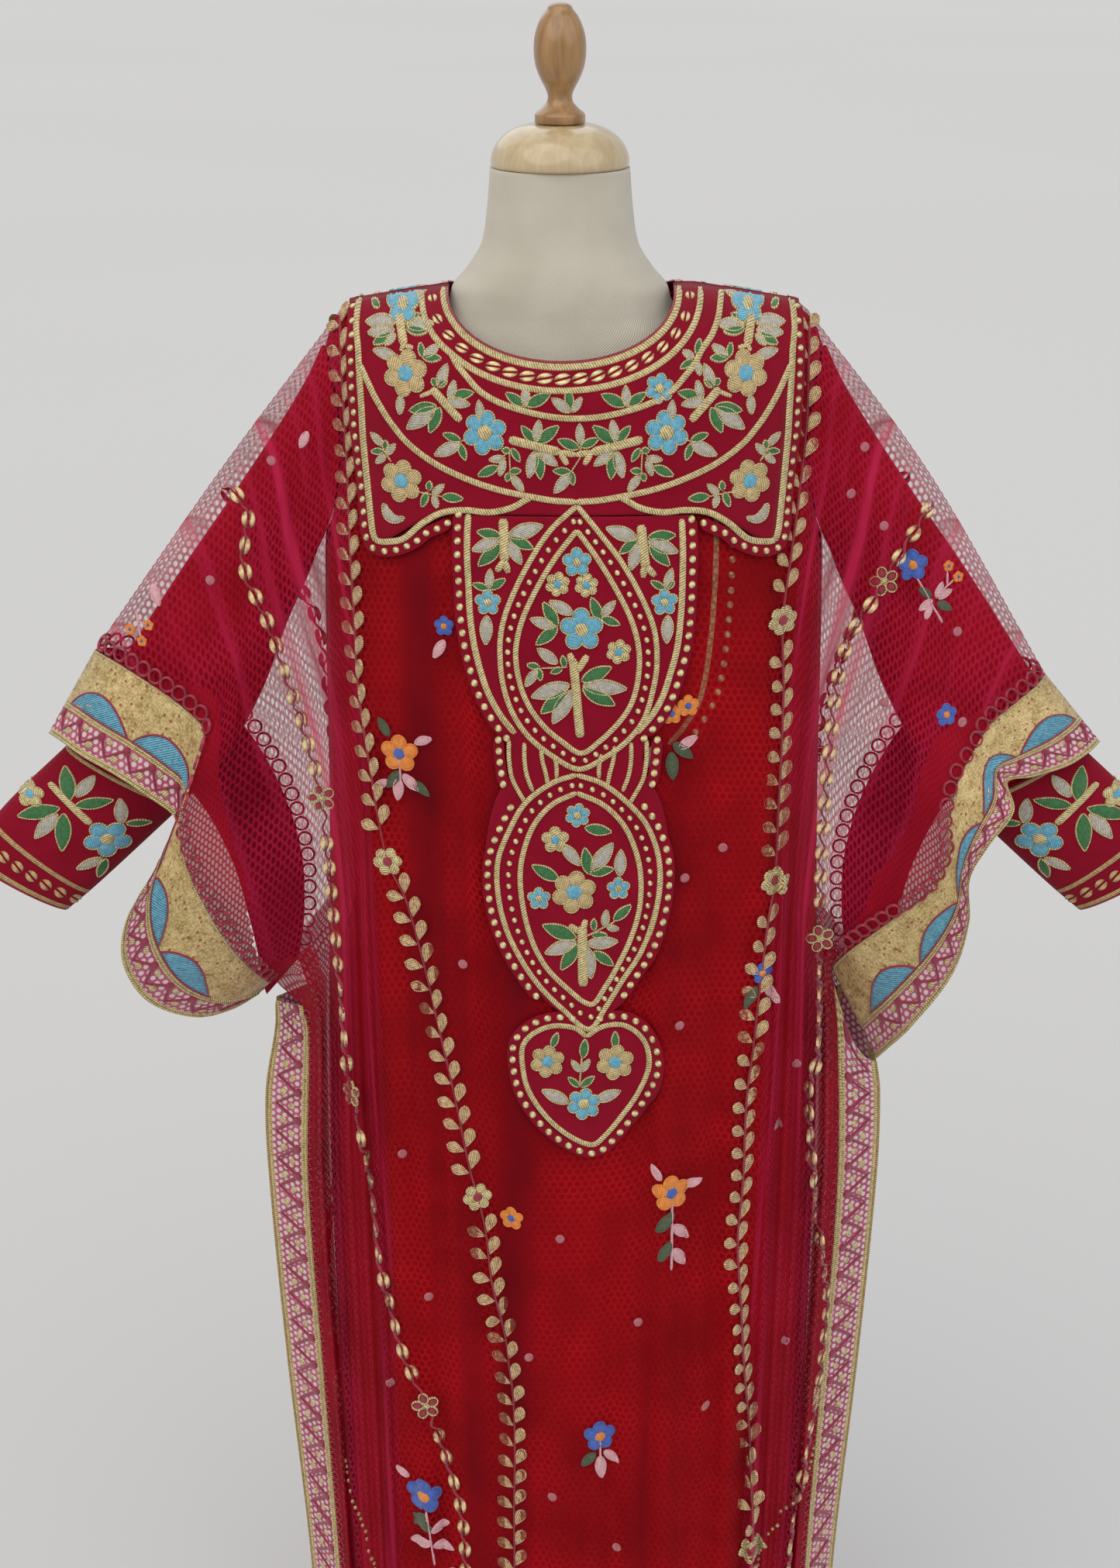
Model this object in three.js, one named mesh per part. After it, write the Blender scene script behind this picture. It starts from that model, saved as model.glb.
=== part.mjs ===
// A sheer net over-thobe with wide square sleeves, over its matching opaque under-robe,
// standing on a limbless dress form. Millimetres, +Z up, origin at the floor under the
// stand, front towards -Y. Every cloth piece is a thin closed wall of its own.
import * as THREE from 'three';

// ---------- driving sizes ----------
const GARMENT_X = 12;          // the garment hangs a little to one side of the form's axis
const HEM_Z = 40;              // both robes end this far above the floor
const SEAM = 0.3;              // clearance between two pieces along a seam
const TRIM_SEAM = 0.5;         // and beside a trim, where the cloth turns sharply
const NET_WALL = 1.0;
const ROBE_WALL = 1.2;
const TRIM_WALL = 1.6;
const CUFF_WALL = 2.0;
const NET_EASE = 4;            // the net lies this far outside the under-robe
const YOKE_EASE = 8.2;         // and the yoke this far, so it clears the net's own wall

// neckline: half an ellipse, low at the front and a little low at the back
const NECK = { x: -9, half: 97, frontDrop: 51, backDrop: 16 };
const NECK_HIDE = 2.5;         // the robes' own necklines are this much wider than the yoke's

// shoulder: a ridge falling gently from the neck, faster past the tip, and rounding down
// in front and behind
const SHOULDER = { neckX: 103, z: 1458.1, fall: 0.15, tipX: 190, tipFall: 0.05,
  frontRound: 90, backRound: 36 };

// robe body: half width, front and back reach at each height
const BODY = rows('z half front back', [
  [1470, 214, 84, 64],
  [1415, 214, 93, 74],
  [1330, 207, 110, 93],
  [1252, 216, 125, 102],
  [1175, 218, 132, 105],
  [1000, 219, 135, 108],
  [700, 226, 141, 118],
  [400, 222, 148, 126],
  [HEM_Z, 218, 154, 134],
]);
const BODY_CORNER = 2.6;       // how square the body's plan is
const ARMHOLE = { top: 1414, bottom: 1252, cut: 0.045, gap: 1.35 };

// soft vertical folds: where they lie across the body, half width, depth and top
const ROBE_FOLDS = rows('x wide deep top', [
  [-158, 24, 9, 1080],
  [-104, 26, 8, 1180],
  [-46, 30, 7, 900],
  [22, 32, 8, 700],
  [84, 26, 10, 1120],
  [140, 26, 9, 1020],
]);
const NET_FOLDS = rows('x wide deep top', [
  [-132, 20, 12, 1060],
  [-76, 22, 9, 860],
  [-12, 26, 7, 640],
  [54, 22, 10, 800],
  [112, 20, 13, 1000],
]);
// folds in the net beyond the leaf seam: cloth distance from the centre, and their reach down
const SIDE_FOLDS = rows('u wide deep top', [
  [238, 22, 11, 240],
  [292, 22, 12, 330],
  [345, 24, 10, 420],
  [420, 26, 9, 250],
  [478, 24, 9, 300],
]);

// seam lines of the net on one half of the front: v is the distance down the cloth
const LEAF_SEAM = rows('v x z', [
  [0, 200, 1442.55],
  [60, 197, 1398],
  [130, 194, 1335],
  [210, 191, 1258],
  [300, 187, 1170],
  [370, 181, 1101],
  [460, 175, 1012],
  [700, 167, 771],
  [1060, 159, 411],
  [1430, 155, HEM_Z],
]);
const DISC_LINE = rows('v x y z', [
  [0, 307, 0, 1304],
  [20, 300, -25, 1298],
  [40, 290, -37, 1284],
  [80, 281, -46, 1252],
  [130, 272, -56, 1208],
  [210, 246, -66, 1132],
  [300, 223, -74, 1046],
  [370, 214, -78, 978],
  [460, 208, -80, 890],
  [700, 206, -82, 678],
  [1060, 197, -88, 362],
  [1430, 185, -95, HEM_Z],
]);
// the sleeve border's inner and outer edges, and below them the side band's, front left
const BORDER_INNER_LEFT = rows('v x y z', [
  [0, 423, 0, 1143],
  [20, 409, -20, 1142],
  [46, 390, -34, 1135],
  [84, 361, -50, 1121],
  [114, 337, -58, 1105],
  [137, 321, -66, 1088],
  [175, 330, -84, 1052],
  [215, 342, -92, 1012],
  [260, 336, -93, 970],
  [305, 320, -86, 926],
  [350, 303, -72, 888],
  [395, 288, -52, 860],
  [430, 278, -30, 843],
  [460, 274, -10, 834],
]);
const BORDER_OUTER_LEFT = rows('v x y z', [
  [0, 468, 0, 1066],
  [20, 453, -20, 1064],
  [46, 435, -34, 1056],
  [84, 402, -47, 1041],
  [114, 374, -54, 1024],
  [140, 350, -62, 1007],
  [172, 352, -80, 990],
  [215, 369, -87, 960],
  [260, 393, -86, 922],
  [305, 400, -78, 878],
  [350, 382, -66, 836],
  [400, 343, -46, 812],
  [435, 311, -26, 812],
  [460, 284, -6, 822],
]);
const BORDER_INNER_RIGHT = rows('v x y z', [
  [0, 418, 0, 1121],
  [20, 407, -20, 1116],
  [46, 388, -36, 1106],
  [84, 362, -54, 1090],
  [110, 350, -66, 1074],
  [140, 333, -84, 1048],
  [180, 325, -92, 1010],
  [215, 326, -92, 985],
  [260, 314, -88, 950],
  [315, 280, -78, 917],
  [385, 248, -64, 885],
  [430, 238, -48, 868],
  [460, 233, -38, 856],
]);
const BORDER_OUTER_RIGHT = rows('v x y z', [
  [0, 470, 0, 1058],
  [20, 458, -18, 1054],
  [46, 437, -33, 1046],
  [84, 403, -50, 1041],
  [110, 379, -62, 1040],
  [140, 384, -76, 1018],
  [180, 362, -83, 988],
  [215, 347, -83, 958],
  [260, 349, -79, 915],
  [315, 338, -68, 862],
  [385, 306, -46, 802],
  [430, 288, -22, 770],
  [460, 280, -7, 754],
]);
// behind, the border falls straight from the cuff to the side seam
const BORDER_INNER_BACK = rows('v x y z', [
  [0, 421, 0, 1132],
  [20, 409, 20, 1129],
  [46, 390, 33, 1121],
  [100, 346, 45, 1102],
  [160, 300, 51, 1058],
  [230, 266, 52, 994],
  [300, 250, 48, 934],
  [370, 248, 38, 884],
  [430, 251, 29, 854],
  [460, 254, 24, 840],
]);
const BORDER_OUTER_BACK = rows('v x y z', [
  [0, 469, 0, 1062],
  [20, 455, 20, 1058],
  [46, 433, 30, 1050],
  [100, 388, 40, 1030],
  [160, 345, 46, 990],
  [230, 315, 47, 930],
  [300, 300, 42, 876],
  [370, 290, 28, 836],
  [430, 285, 12, 818],
  [460, 282, 6, 812],
]);
const BAND_INNER = rows('v x y z', [
  [500, 241, -30, 790],
  [680, 245, -34, 645],
  [930, 236, -35, 447],
  [1200, 224, -44, 228],
  [1430, 219, -50, HEM_Z],
]);
const BAND_OUTER = rows('v x y z', [
  [500, 274, -4, 786],
  [580, 285, -3, 720],
  [680, 285, -3, 640],
  [930, 273, -3, 441],
  [1200, 256, -3, 226],
  [1430, 249, -3, HEM_Z],
]);
const RIDGE_FADE = 120;
// where a band begins under the sleeve border's end; at the front right its end is cut on
// the slant, this much further down the cloth at the outer edge
const BAND_TOP = 466;
const BAND_START = {
  inner: rows('v x y z', [[BAND_TOP, 246, -30, 816]])[0],
  outer: rows('v x y z', [[BAND_TOP, 273, -5, 811]])[0],
};
const BAND_START_SLANTED = {
  inner: rows('v x y z', [[BAND_TOP, 236, -34, 838]])[0],
  outer: rows('v x y z', [[540, 281, -2, 750]])[0],
};
const BAND_SLANT = { drop: 74, over: 124 };
const CLOTH_U = { leaf: 200, disc: 365, borderInner: 548 };

// rows and columns that the net is cut into
const SLEEVE_ROWS = [0, 8, 20, 46, 84, 114, 140, 172, 215, 260, 305, 350, 400, 435, 460];
const SKIRT_ROWS = [BAND_TOP, 500, 590, 700, 830, 970, 1120, 1275, 1430];
const BACK_ROWS = [0, 8, 20, 46, 84, 114, 170, 240, 310, 380, 460, BAND_TOP, 500, 610, 770, 950,
  1190, 1430];
// columns of a body panel: shares of the neckline's half, then of the shoulder's length;
// below the chest they spread out evenly
const NECK_SHARES = [0, 0.34, 0.62, 0.84, 0.95, 1];
const SHOULDER_SHARES = [0.22, 0.42, 0.62, 0.82, 1];
const SPREAD = 5;
const SIDE_COLUMNS = [200, 230, 262, 292, 328, 365, 410, 455, 505, 548];
const BACK_SIDE_COLUMNS = [200, 245, 292, 345, 420, 485, 548];

// under-robe sleeve: the top and bottom of each section seen from the front, and its depth
const SLEEVE = rows('s topX topZ lowX lowZ deep', [
  [1, 243, 1364, 230, 1214, 29],
  [2, 292, 1291, 251, 1168, 28],
  [3, 348, 1212, 274, 1108, 26],
  [4, 404, 1127, 307, 1048, 25],
  [5, 449, 1058, 346, 1003, 24],
]);
const CUFF = rows('s topX topZ lowX lowZ deep', [
  [0, 449.4, 1057.6, 346.4, 1002.6, 24.2],
  [0.7, 515, 994, 430, 924, 22],
  [1, 547, 950, 459, 899, 19],
]);
const TUBE_SIDES = 14;

// the yoke's side edge and scalloped lower edge, and the long front piece below it
const YOKE_SIDE = rows('z half', [
  [1262, 168],
  [1320, 175],
  [1404, 182],
  [1453.2, 191],
]);
const YOKE_ROWS = [0, 8, 20, 46, 84, 114];
const YOKE_BACK_Z = 1310;
const YOKE_LOWER = rows('a z', [
  [0, 1293],
  [0.56, 1293],
  [0.68, 1290],
  [0.82, 1279],
  [0.93, 1267],
  [1, 1266],
]);
const PLASTRON = rows('z half x', [
  [1292.2, 95, 0],
  [1256, 98, 0],
  [1215, 98, 0],
  [1171, 92, 0],
  [1138, 80, 1],
  [1106, 60, 2],
  [1079, 56, 3],
  [1049, 70, 3],
  [1018, 77, 3],
  [985, 79, 3],
  [945, 74, 4],
  [905, 60, 7],
  [868, 34, 10],
  [851, 20, 11],
  [845, 46, 12],
  [832, 61, 12],
  [812, 65, 13],
  [788, 60, 14],
  [760, 43, 16],
  [738, 21, 17],
  [724, 5, 17],
]);
const PLASTRON_COLUMNS = [-1, -0.6, -0.2, 0.2, 0.6, 1];

// dress form: half width, front and back of the padded body, from neck to hip
const FORM = rows('z half front back', [
  [1563, 58, 54, 52],
  [1530, 59, 55, 50],
  [1500, 66, 57, 48],
  [1480, 76, 59, 47],
  [1466, 86, 60, 46],
  [1452, 89, 60, 45],
  [1440, 100, 60, 46],
  [1425, 126, 63, 49],
  [1402, 156, 69, 57],
  [1375, 170, 79, 68],
  [1335, 174, 91, 78],
  [1290, 175, 103, 85],
  [1240, 172, 113, 86],
  [1200, 164, 112, 80],
  [1130, 142, 96, 68],
  [1060, 126, 84, 62],
  [1000, 136, 90, 74],
  [930, 158, 100, 90],
  [870, 166, 104, 94],
  [850, 162, 100, 90],
]);
const FORM_CORNER = 2.25;
const FORM_SIDES = 22;
const CAP = { rim: 58.5, z: 1563.3, lip: 9, top: 1598.5, boss: 24 };
const FINIAL = rows('z r', [
  [0, 21.5],
  [4.5, 21.5],
  [6.5, 18],
  [12, 12.4],
  [21, 10.4],
  [30, 11.6],
  [42, 17],
  [54, 20.8],
  [64, 21.9],
  [74, 21],
  [86, 16.6],
  [94, 10],
]);
const FINIAL_TOP = 98;
const BASE = { r: 150, z: 22, round: 9 };
const POLE_R = 15;

const COLOURS = {
  net: 0xa8203f,
  robe: 0xa8161e,
  ground: 0xa50f33,
  gold: 0xcdbb6e,
  canvas: 0xd5cfc0,
  capWood: 0xd3b48a,
  finialWood: 0xb98a55,
  steel: 0x8d8f91,
};

// ---------- tables and curves ----------
function rows(names, values) {
  const keys = names.split(' ');
  return values.map((row) => Object.fromEntries(keys.map((key, i) => [key, row[i]])));
}

// a smooth curve through a table's rows, at the value t of its first column
function along(table, t) {
  const [key, ...others] = Object.keys(table[0]);
  const sign = Math.sign(table.at(-1)[key] - table[0][key]);
  const last = table.length - 2;
  let i = 0;
  while (i < last && sign * (t - table[i + 1][key]) > 0) i += 1;
  const [a, b] = [table[i], table[i + 1]];
  const span = b[key] - a[key];
  const f = THREE.MathUtils.clamp((t - a[key]) / span, 0, 1);
  const slope = (name, at) => {
    const before = table[Math.max(at - 1, 0)];
    const after = table[Math.min(at + 1, table.length - 1)];
    return (after[name] - before[name]) / (after[key] - before[key]);
  };
  const result = { [key]: t };
  for (const name of others) {
    const [m0, m1] = [slope(name, i) * span, slope(name, i + 1) * span];
    result[name] = (1 + 2 * f) * (1 - f) ** 2 * a[name] + f * (1 - f) ** 2 * m0
      + f * f * (3 - 2 * f) * b[name] + f * f * (f - 1) * m1;
  }
  return result;
}

const smooth = (t) => THREE.MathUtils.smoothstep(t, 0, 1);
const bell = (t) => (Math.abs(t) < 1 ? Math.cos(t * Math.PI / 2) ** 2 : 0);

// where a body panel's columns cross the row g of the way down, as shares of its half width
function columnsAt(g, halfWidth, hidden) {
  const half = (hand) => {
    const end = (NECK.half + hidden + hand * NECK.x) / halfWidth;
    return [...NECK_SHARES.map((f) => f * end), ...SHOULDER_SHARES.map((f) => end + (1 - end) * f)]
      .map((share, j, all) => hand * THREE.MathUtils.lerp(share, j / (all.length - 1),
        smooth(g * SPREAD)));
  };
  return [...half(-1).slice(1).reverse(), ...half(1)];
}

// ---------- the cloth's form ----------
const shoulderZ = (x, ease) => SHOULDER.z + ease
  - SHOULDER.fall * Math.max(Math.abs(x) - SHOULDER.neckX, 0)
  - SHOULDER.tipFall * Math.max(Math.abs(x) - SHOULDER.tipX, 0) ** 2;

// how far the body stands from its middle plane at x, z; folds only ever stand out
function reach(x, z, ease, side) {
  const body = along(BODY, z);
  const half = body.half + ease;
  const across = Math.min(Math.abs(x) / half, 1);
  const round = Math.sqrt(1 - across ** BODY_CORNER);
  const rounding = side < 0 ? SHOULDER.frontRound : SHOULDER.backRound;
  const down = THREE.MathUtils.clamp((shoulderZ(x, ease) - z) / rounding, 0, 1);
  const shoulder = Math.sqrt(1 - (1 - down) ** 2);
  return ((side < 0 ? body.front : body.back) + ease) * round * shoulder;
}

function foldsOut(table, x, z, side) {
  return table.reduce((sum, fold) => {
    const grown = smooth((fold.top - z) / 420);
    return sum + fold.deep * grown * bell((side * x + fold.x) / fold.wide);
  }, 0);
}

const robeOut = (x, z, side) => reach(x, z, 0, side) + foldsOut(ROBE_FOLDS, x, z, side);
function netOut(x, z, side) {
  const edge = smooth((190 - Math.abs(x)) / 40);
  return reach(x, z, NET_EASE, side) + Math.max(foldsOut(ROBE_FOLDS, x, z, side),
    foldsOut(NET_FOLDS, x, z, side) * edge);
}
const yokeOut = (x, z, side) => reach(x, z, YOKE_EASE, side);

// upper edge of a front or back panel: the neckline's arc, then the shoulder ridge
function topEdge(x, ease, side, hidden) {
  const drop = (side < 0 ? NECK.frontDrop : NECK.backDrop) + hidden;
  const across = (x - NECK.x) / (NECK.half + hidden);
  const ridge = shoulderZ(x, ease);
  return Math.abs(across) < 1 ? ridge - drop * Math.sqrt(1 - across ** 2) : ridge;
}

// ---------- walls ----------
const mesh = (name, geometry, colour, roughness = 0.85, metalness = 0) => {
  const material = new THREE.MeshStandardMaterial({ color: colour, roughness, metalness });
  const piece = new THREE.Mesh(geometry, material);
  piece.name = name;
  return piece;
};

function geometryOf(points, triangles) {
  const geometry = new THREE.BufferGeometry();
  const flat = points.flatMap((p) => [p.x, p.y, p.z]);
  geometry.setAttribute('position', new THREE.Float32BufferAttribute(flat, 3));
  geometry.setIndex(triangles.flat());
  geometry.computeVertexNormals();
  return geometry;
}

// unit normals of a grid of points, grid[row][column]
function gridNormals(grid, closed) {
  const width = grid[0].length;
  const pick = (i, j) => grid[THREE.MathUtils.clamp(i, 0, grid.length - 1)][closed
    ? (j + width) % width : THREE.MathUtils.clamp(j, 0, width - 1)];
  return grid.map((row, i) => row.map((_, j) => {
    const down = pick(i + 1, j).clone().sub(pick(i - 1, j));
    const across = pick(i, j + 1).clone().sub(pick(i, j - 1));
    return across.cross(down).normalize();
  }));
}

// a closed wall from a grid of points on its outer face; `limit` keeps both faces in bounds
function wall(grid, thickness, { closed = false, outward = 1, limit = (p) => p,
  normals = gridNormals(grid, closed) } = {}) {
  const [height, width] = [grid.length, grid[0].length];
  const outer = grid.flat().map((p) => limit(p.clone()));
  const inner = grid.flatMap((row, i) => row.map((p, j) => limit(
    p.clone().addScaledVector(normals[i][j], -outward * thickness))));
  const count = height * width;
  const id = (i, j) => i * width + (j % width);
  const triangles = [];
  const quad = (a, b, c, d) => {
    const order = outward < 0 ? [[a, b, c], [a, c, d]] : [[a, c, b], [a, d, c]];
    triangles.push(...order);
  };
  const columns = closed ? width : width - 1;
  for (let i = 0; i < height - 1; i += 1) {
    for (let j = 0; j < columns; j += 1) {
      const [a, b, c, d] = [id(i, j), id(i, j + 1), id(i + 1, j + 1), id(i + 1, j)];
      quad(a, d, c, b);
      quad(count + a, count + b, count + c, count + d);
    }
  }
  for (let j = 0; j < columns; j += 1) {
    const [a, b] = [id(0, j), id(0, j + 1)];
    const [c, d] = [id(height - 1, j), id(height - 1, j + 1)];
    quad(a, b, count + b, count + a);
    quad(c, count + c, count + d, d);
  }
  if (!closed) {
    for (let i = 0; i < height - 1; i += 1) {
      const [a, b] = [id(i, 0), id(i + 1, 0)];
      const [c, d] = [id(i, width - 1), id(i + 1, width - 1)];
      quad(a, count + a, count + b, b);
      quad(c, d, count + d, count + c);
    }
  }
  return geometryOf([...outer, ...inner], triangles);
}

const placed = (x, y, z) => new THREE.Vector3(x + GARMENT_X, y, z);
// keeps a front piece in front of the middle plane and a back piece behind it
const ownSide = (side) => (p) => {
  p.y = side < 0 ? Math.min(p.y, -SEAM / 2) : Math.max(p.y, SEAM / 2);
  return p;
};
const sideWall = (grid, thickness, side, normals) => wall(grid, thickness, {
  outward: side, limit: ownSide(side), normals });

// ---------- under-robe ----------
const ROBE_ROWS = [0, 0.018, 0.042, 0.07, 0.096, 0.1166, 0.17, 0.25, 0.36, 0.5, 0.66, 0.83, 1];

// the body panels stop short of their side at the armhole, so that it stays open
function robeEdge(z) {
  const middle = (ARMHOLE.top + ARMHOLE.bottom) / 2;
  const across = (z - middle) / ((ARMHOLE.top - ARMHOLE.bottom) / 2);
  return along(BODY, z).half * (1 - ARMHOLE.cut * Math.sqrt(Math.max(1 - across ** 2, 0)));
}

function robePanel(side) {
  const grid = ROBE_ROWS.map((g) => columnsAt(g, robeEdge(ARMHOLE.top), NECK_HIDE).map((a) => {
    const topX = a * robeEdge(ARMHOLE.top);
    const top = topEdge(topX, 0, side, NECK_HIDE);
    const z = top - g * (top - HEM_Z);
    const x = a * robeEdge(z);
    return placed(x, side * robeOut(x, z, side), z);
  }));
  return sideWall(grid, ROBE_WALL, side);
}

// one ring of a flat tube: from its top, down its front and up its back
function ring({ topX, topZ, lowX, lowZ, deep }, hand) {
  return Array.from({ length: TUBE_SIDES }, (_, k) => {
    const angle = 2 * Math.PI * k / TUBE_SIDES;
    const f = (1 + Math.cos(angle)) / 2;
    return placed(hand * (lowX + (topX - lowX) * f), -deep * Math.sin(angle),
      lowZ + (topZ - lowZ) * f);
  });
}

function armholeRing(hand) {
  return Array.from({ length: TUBE_SIDES }, (_, k) => {
    const angle = 2 * Math.PI * k / TUBE_SIDES;
    const middle = (ARMHOLE.top + ARMHOLE.bottom) / 2;
    const z = middle + Math.cos(angle) * (ARMHOLE.top - ARMHOLE.bottom) / 2;
    const x = robeEdge(z);
    const side = Math.sin(angle) > 0 ? -1 : 1;
    return placed(hand * (x + ARMHOLE.gap), side * reach(x, z, 0, side), z - 1);
  });
}

const tube = (grid, thickness, hand) => wall(grid, thickness, { closed: true, outward: hand });

function robeSleeve(hand) {
  return tube([armholeRing(hand), ...SLEEVE.map((row) => ring(row, hand))], ROBE_WALL, hand);
}

function robeCuff(hand) {
  return tube(CUFF.map((row) => ring(row, hand)), CUFF_WALL, hand);
}

// ---------- net over-thobe ----------
function leafSeam(v, side) {
  const { x, z } = along(LEAF_SEAM, v);
  return { x, y: side * netOut(x, z, side), z };
}

// a thobe rail at v: the line that the cloth follows down one half. Behind, it starts on
// the ridge where the front one does
function borderRail(which, v, hand, side) {
  const fronts = { inner: [BORDER_INNER_LEFT, BORDER_INNER_RIGHT],
    outer: [BORDER_OUTER_LEFT, BORDER_OUTER_RIGHT] };
  const front = fronts[which][hand < 0 ? 0 : 1];
  if (side < 0) return along(front, v);
  const back = which === 'inner' ? BORDER_INNER_BACK : BORDER_OUTER_BACK;
  const [ridge, shift] = [back[0], smooth(1 - v / RIDGE_FADE)];
  const { x, y, z } = along(back, v);
  return { x: x + (front[0].x - ridge.x) * shift, y, z: z + (front[0].z - ridge.z) * shift };
}
function bandRail(which, v, hand, side) {
  const start = side < 0 && hand > 0 ? BAND_START_SLANTED : BAND_START;
  const table = which === 'inner' ? BAND_INNER : BAND_OUTER;
  const point = along([start[which], ...table.filter((row) => row.v > start[which].v)], v);
  return { ...point, y: side < 0 ? point.y : -0.75 * point.y };
}
function discRail(v, side) {
  const point = along(DISC_LINE, v);
  return { ...point, y: side < 0 ? point.y : -0.86 * point.y };
}

// a point of the net at cloth distance u from the centre and v down from the shoulder
function netSide(u, v, hand, side) {
  const lastSleeve = SLEEVE_ROWS.at(-1);
  const inner = v <= lastSleeve ? borderRail('inner', v, hand, side)
    : bandRail('inner', v, hand, side);
  const stops = [
    [CLOTH_U.leaf, leafSeam(v, side)],
    [CLOTH_U.disc, discRail(v, side)],
    [CLOTH_U.borderInner, inner],
  ].map(([at, { x, y, z }]) => ({ u: at, x, y, z }));
  const point = along(stops, u);
  const folds = SIDE_FOLDS.reduce((sum, fold) => sum
    + fold.deep * smooth((v - fold.top) / 260) * bell((u - fold.u) / fold.wide), 0);
  const edge = smooth((u - CLOTH_U.leaf) / 20) * smooth((CLOTH_U.borderInner - u) / 24);
  const least = reach(point.x, point.z, NET_EASE, side)
    + foldsOut(ROBE_FOLDS, hand * point.x, point.z, side);
  const out = Math.max(side * point.y, point.x < 222 ? least : 0) + folds * edge;
  return placed(hand * point.x, side * out, point.z);
}

// the share of the way from shoulder to hem that the cloth has come down at v
const dropShare = (v) => (LEAF_SEAM[0].z - along(LEAF_SEAM, v).z) / (LEAF_SEAM[0].z - HEM_Z);

function netCentre(side) {
  const rowsDown = side < 0 ? [...SLEEVE_ROWS, ...SKIRT_ROWS] : BACK_ROWS;
  const shoulder = LEAF_SEAM[0];
  const grid = rowsDown.map((v) => columnsAt(dropShare(v), shoulder.x, NECK_HIDE).map((a) => {
    const seam = along(LEAF_SEAM, v);
    const top = topEdge(a * shoulder.x, NET_EASE, side, NECK_HIDE);
    const z = top - dropShare(v) * (top - HEM_Z);
    const x = a * (seam.x - SEAM / 2);
    return placed(x, side * netOut(x, z, side), z);
  }));
  return sideWall(grid, NET_WALL, side);
}

// a point of the trim beyond the net's edge, f of the way across it
function trimPoint(f, v, hand, side) {
  const sleeve = v <= SLEEVE_ROWS.at(-1);
  const slant = sleeve || hand < 0 || side > 0 ? 0
    : BAND_SLANT.drop * f * Math.max(1 - (v - BAND_TOP) / BAND_SLANT.over, 0);
  const rail = sleeve ? borderRail : bandRail;
  const a = rail('inner', v + slant, hand, side);
  const b = rail('outer', v + slant, hand, side);
  return placed(hand * (a.x + (b.x - a.x) * f), a.y + (b.y - a.y) * f, a.z + (b.z - a.z) * f);
}

// the net beyond the leaf seam and its trim are laid out as one sheet, so that their cut
// edges face each other, and then parted: the net takes the first columns, a trim the rest
function sideSheet(hand, side, keep, takesNet) {
  const rowsDown = side < 0 ? [...SLEEVE_ROWS, ...SKIRT_ROWS] : BACK_ROWS;
  const columns = [...(side < 0 ? SIDE_COLUMNS : BACK_SIDE_COLUMNS)];
  columns[0] += SEAM / 2;
  const sheet = rowsDown.map((v) => [...columns.map((u) => netSide(u, v, hand, side)),
    trimPoint(0.5, v, hand, side), trimPoint(1, v, hand, side)]);
  const normals = gridNormals(sheet, false);
  const cut = (row) => (takesNet ? row.slice(0, -2) : row.slice(-3));
  const parted = (grid) => grid.filter((_, i) => keep(rowsDown[i])).map(cut);
  const [grid, facing] = [parted(sheet), parted(normals)];
  if (!takesNet) {
    for (const row of grid) {
      const away = row[1].clone().sub(row[0]).setLength(TRIM_SEAM);
      row[0] = row[0].clone().add(away);
    }
  }
  // on the left the columns run the other way, and so do the crossed directions
  return hand < 0 ? { grid: grid.map((row) => [...row].reverse()),
    normals: facing.map((row) => [...row].reverse().map((n) => n.clone().negate())) }
    : { grid, normals: facing };
}

function sidePiece(hand, side, thickness, keep, takesNet) {
  const { grid, normals } = sideSheet(hand, side, keep, takesNet);
  return sideWall(grid, thickness, side, normals);
}
const netSidePanel = (hand, side) => sidePiece(hand, side, NET_WALL, () => true, true);
const sleeveBorder = (hand, side) => sidePiece(hand, side, TRIM_WALL,
  (v) => v <= SLEEVE_ROWS.at(-1), false);
const sideBand = (hand, side) => sidePiece(hand, side, TRIM_WALL, (v) => v >= BAND_TOP, false);

// ---------- embroidered yoke and the long front piece ----------
function yoke(side) {
  const ridgeHalf = YOKE_SIDE.at(-1).half;
  const hidden = side < 0 ? 0 : NECK_HIDE;
  const shares = YOKE_ROWS.map((v) => dropShare(v));
  const bottomAt = (a) => (side < 0 ? along(YOKE_LOWER, Math.abs(a)).z : YOKE_BACK_Z);
  // rows that run with the net's, then one half way to the lower edge and the edge itself
  const height = (a, row) => {
    const top = topEdge(a * ridgeHalf, YOKE_EASE, side, hidden);
    if (row < shares.length) return top - shares[row] * (top - HEM_Z);
    const last = top - shares.at(-1) * (top - HEM_Z);
    return THREE.MathUtils.lerp(last, bottomAt(a), (row - shares.length + 1) / 2);
  };
  const grid = Array.from({ length: shares.length + 2 }, (_, row) => {
    const share = shares[Math.min(row, shares.length - 1)];
    const half = along(YOKE_SIDE, height(1, row)).half;
    return columnsAt(share, ridgeHalf, hidden).map((a) => {
      const z = height(a, row);
      return placed(a * half, side * yokeOut(a * half, z, side), z);
    });
  });
  return sideWall(grid, TRIM_WALL, side);
}

function plastron() {
  const grid = PLASTRON.map(({ z, half, x: centre }) => PLASTRON_COLUMNS.map((a) => {
    const x = centre + a * half;
    const out = netOut(x, z, -1) + YOKE_EASE - NET_EASE;
    return placed(x, -out, z);
  }));
  return sideWall(grid, TRIM_WALL, -1);
}

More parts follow.
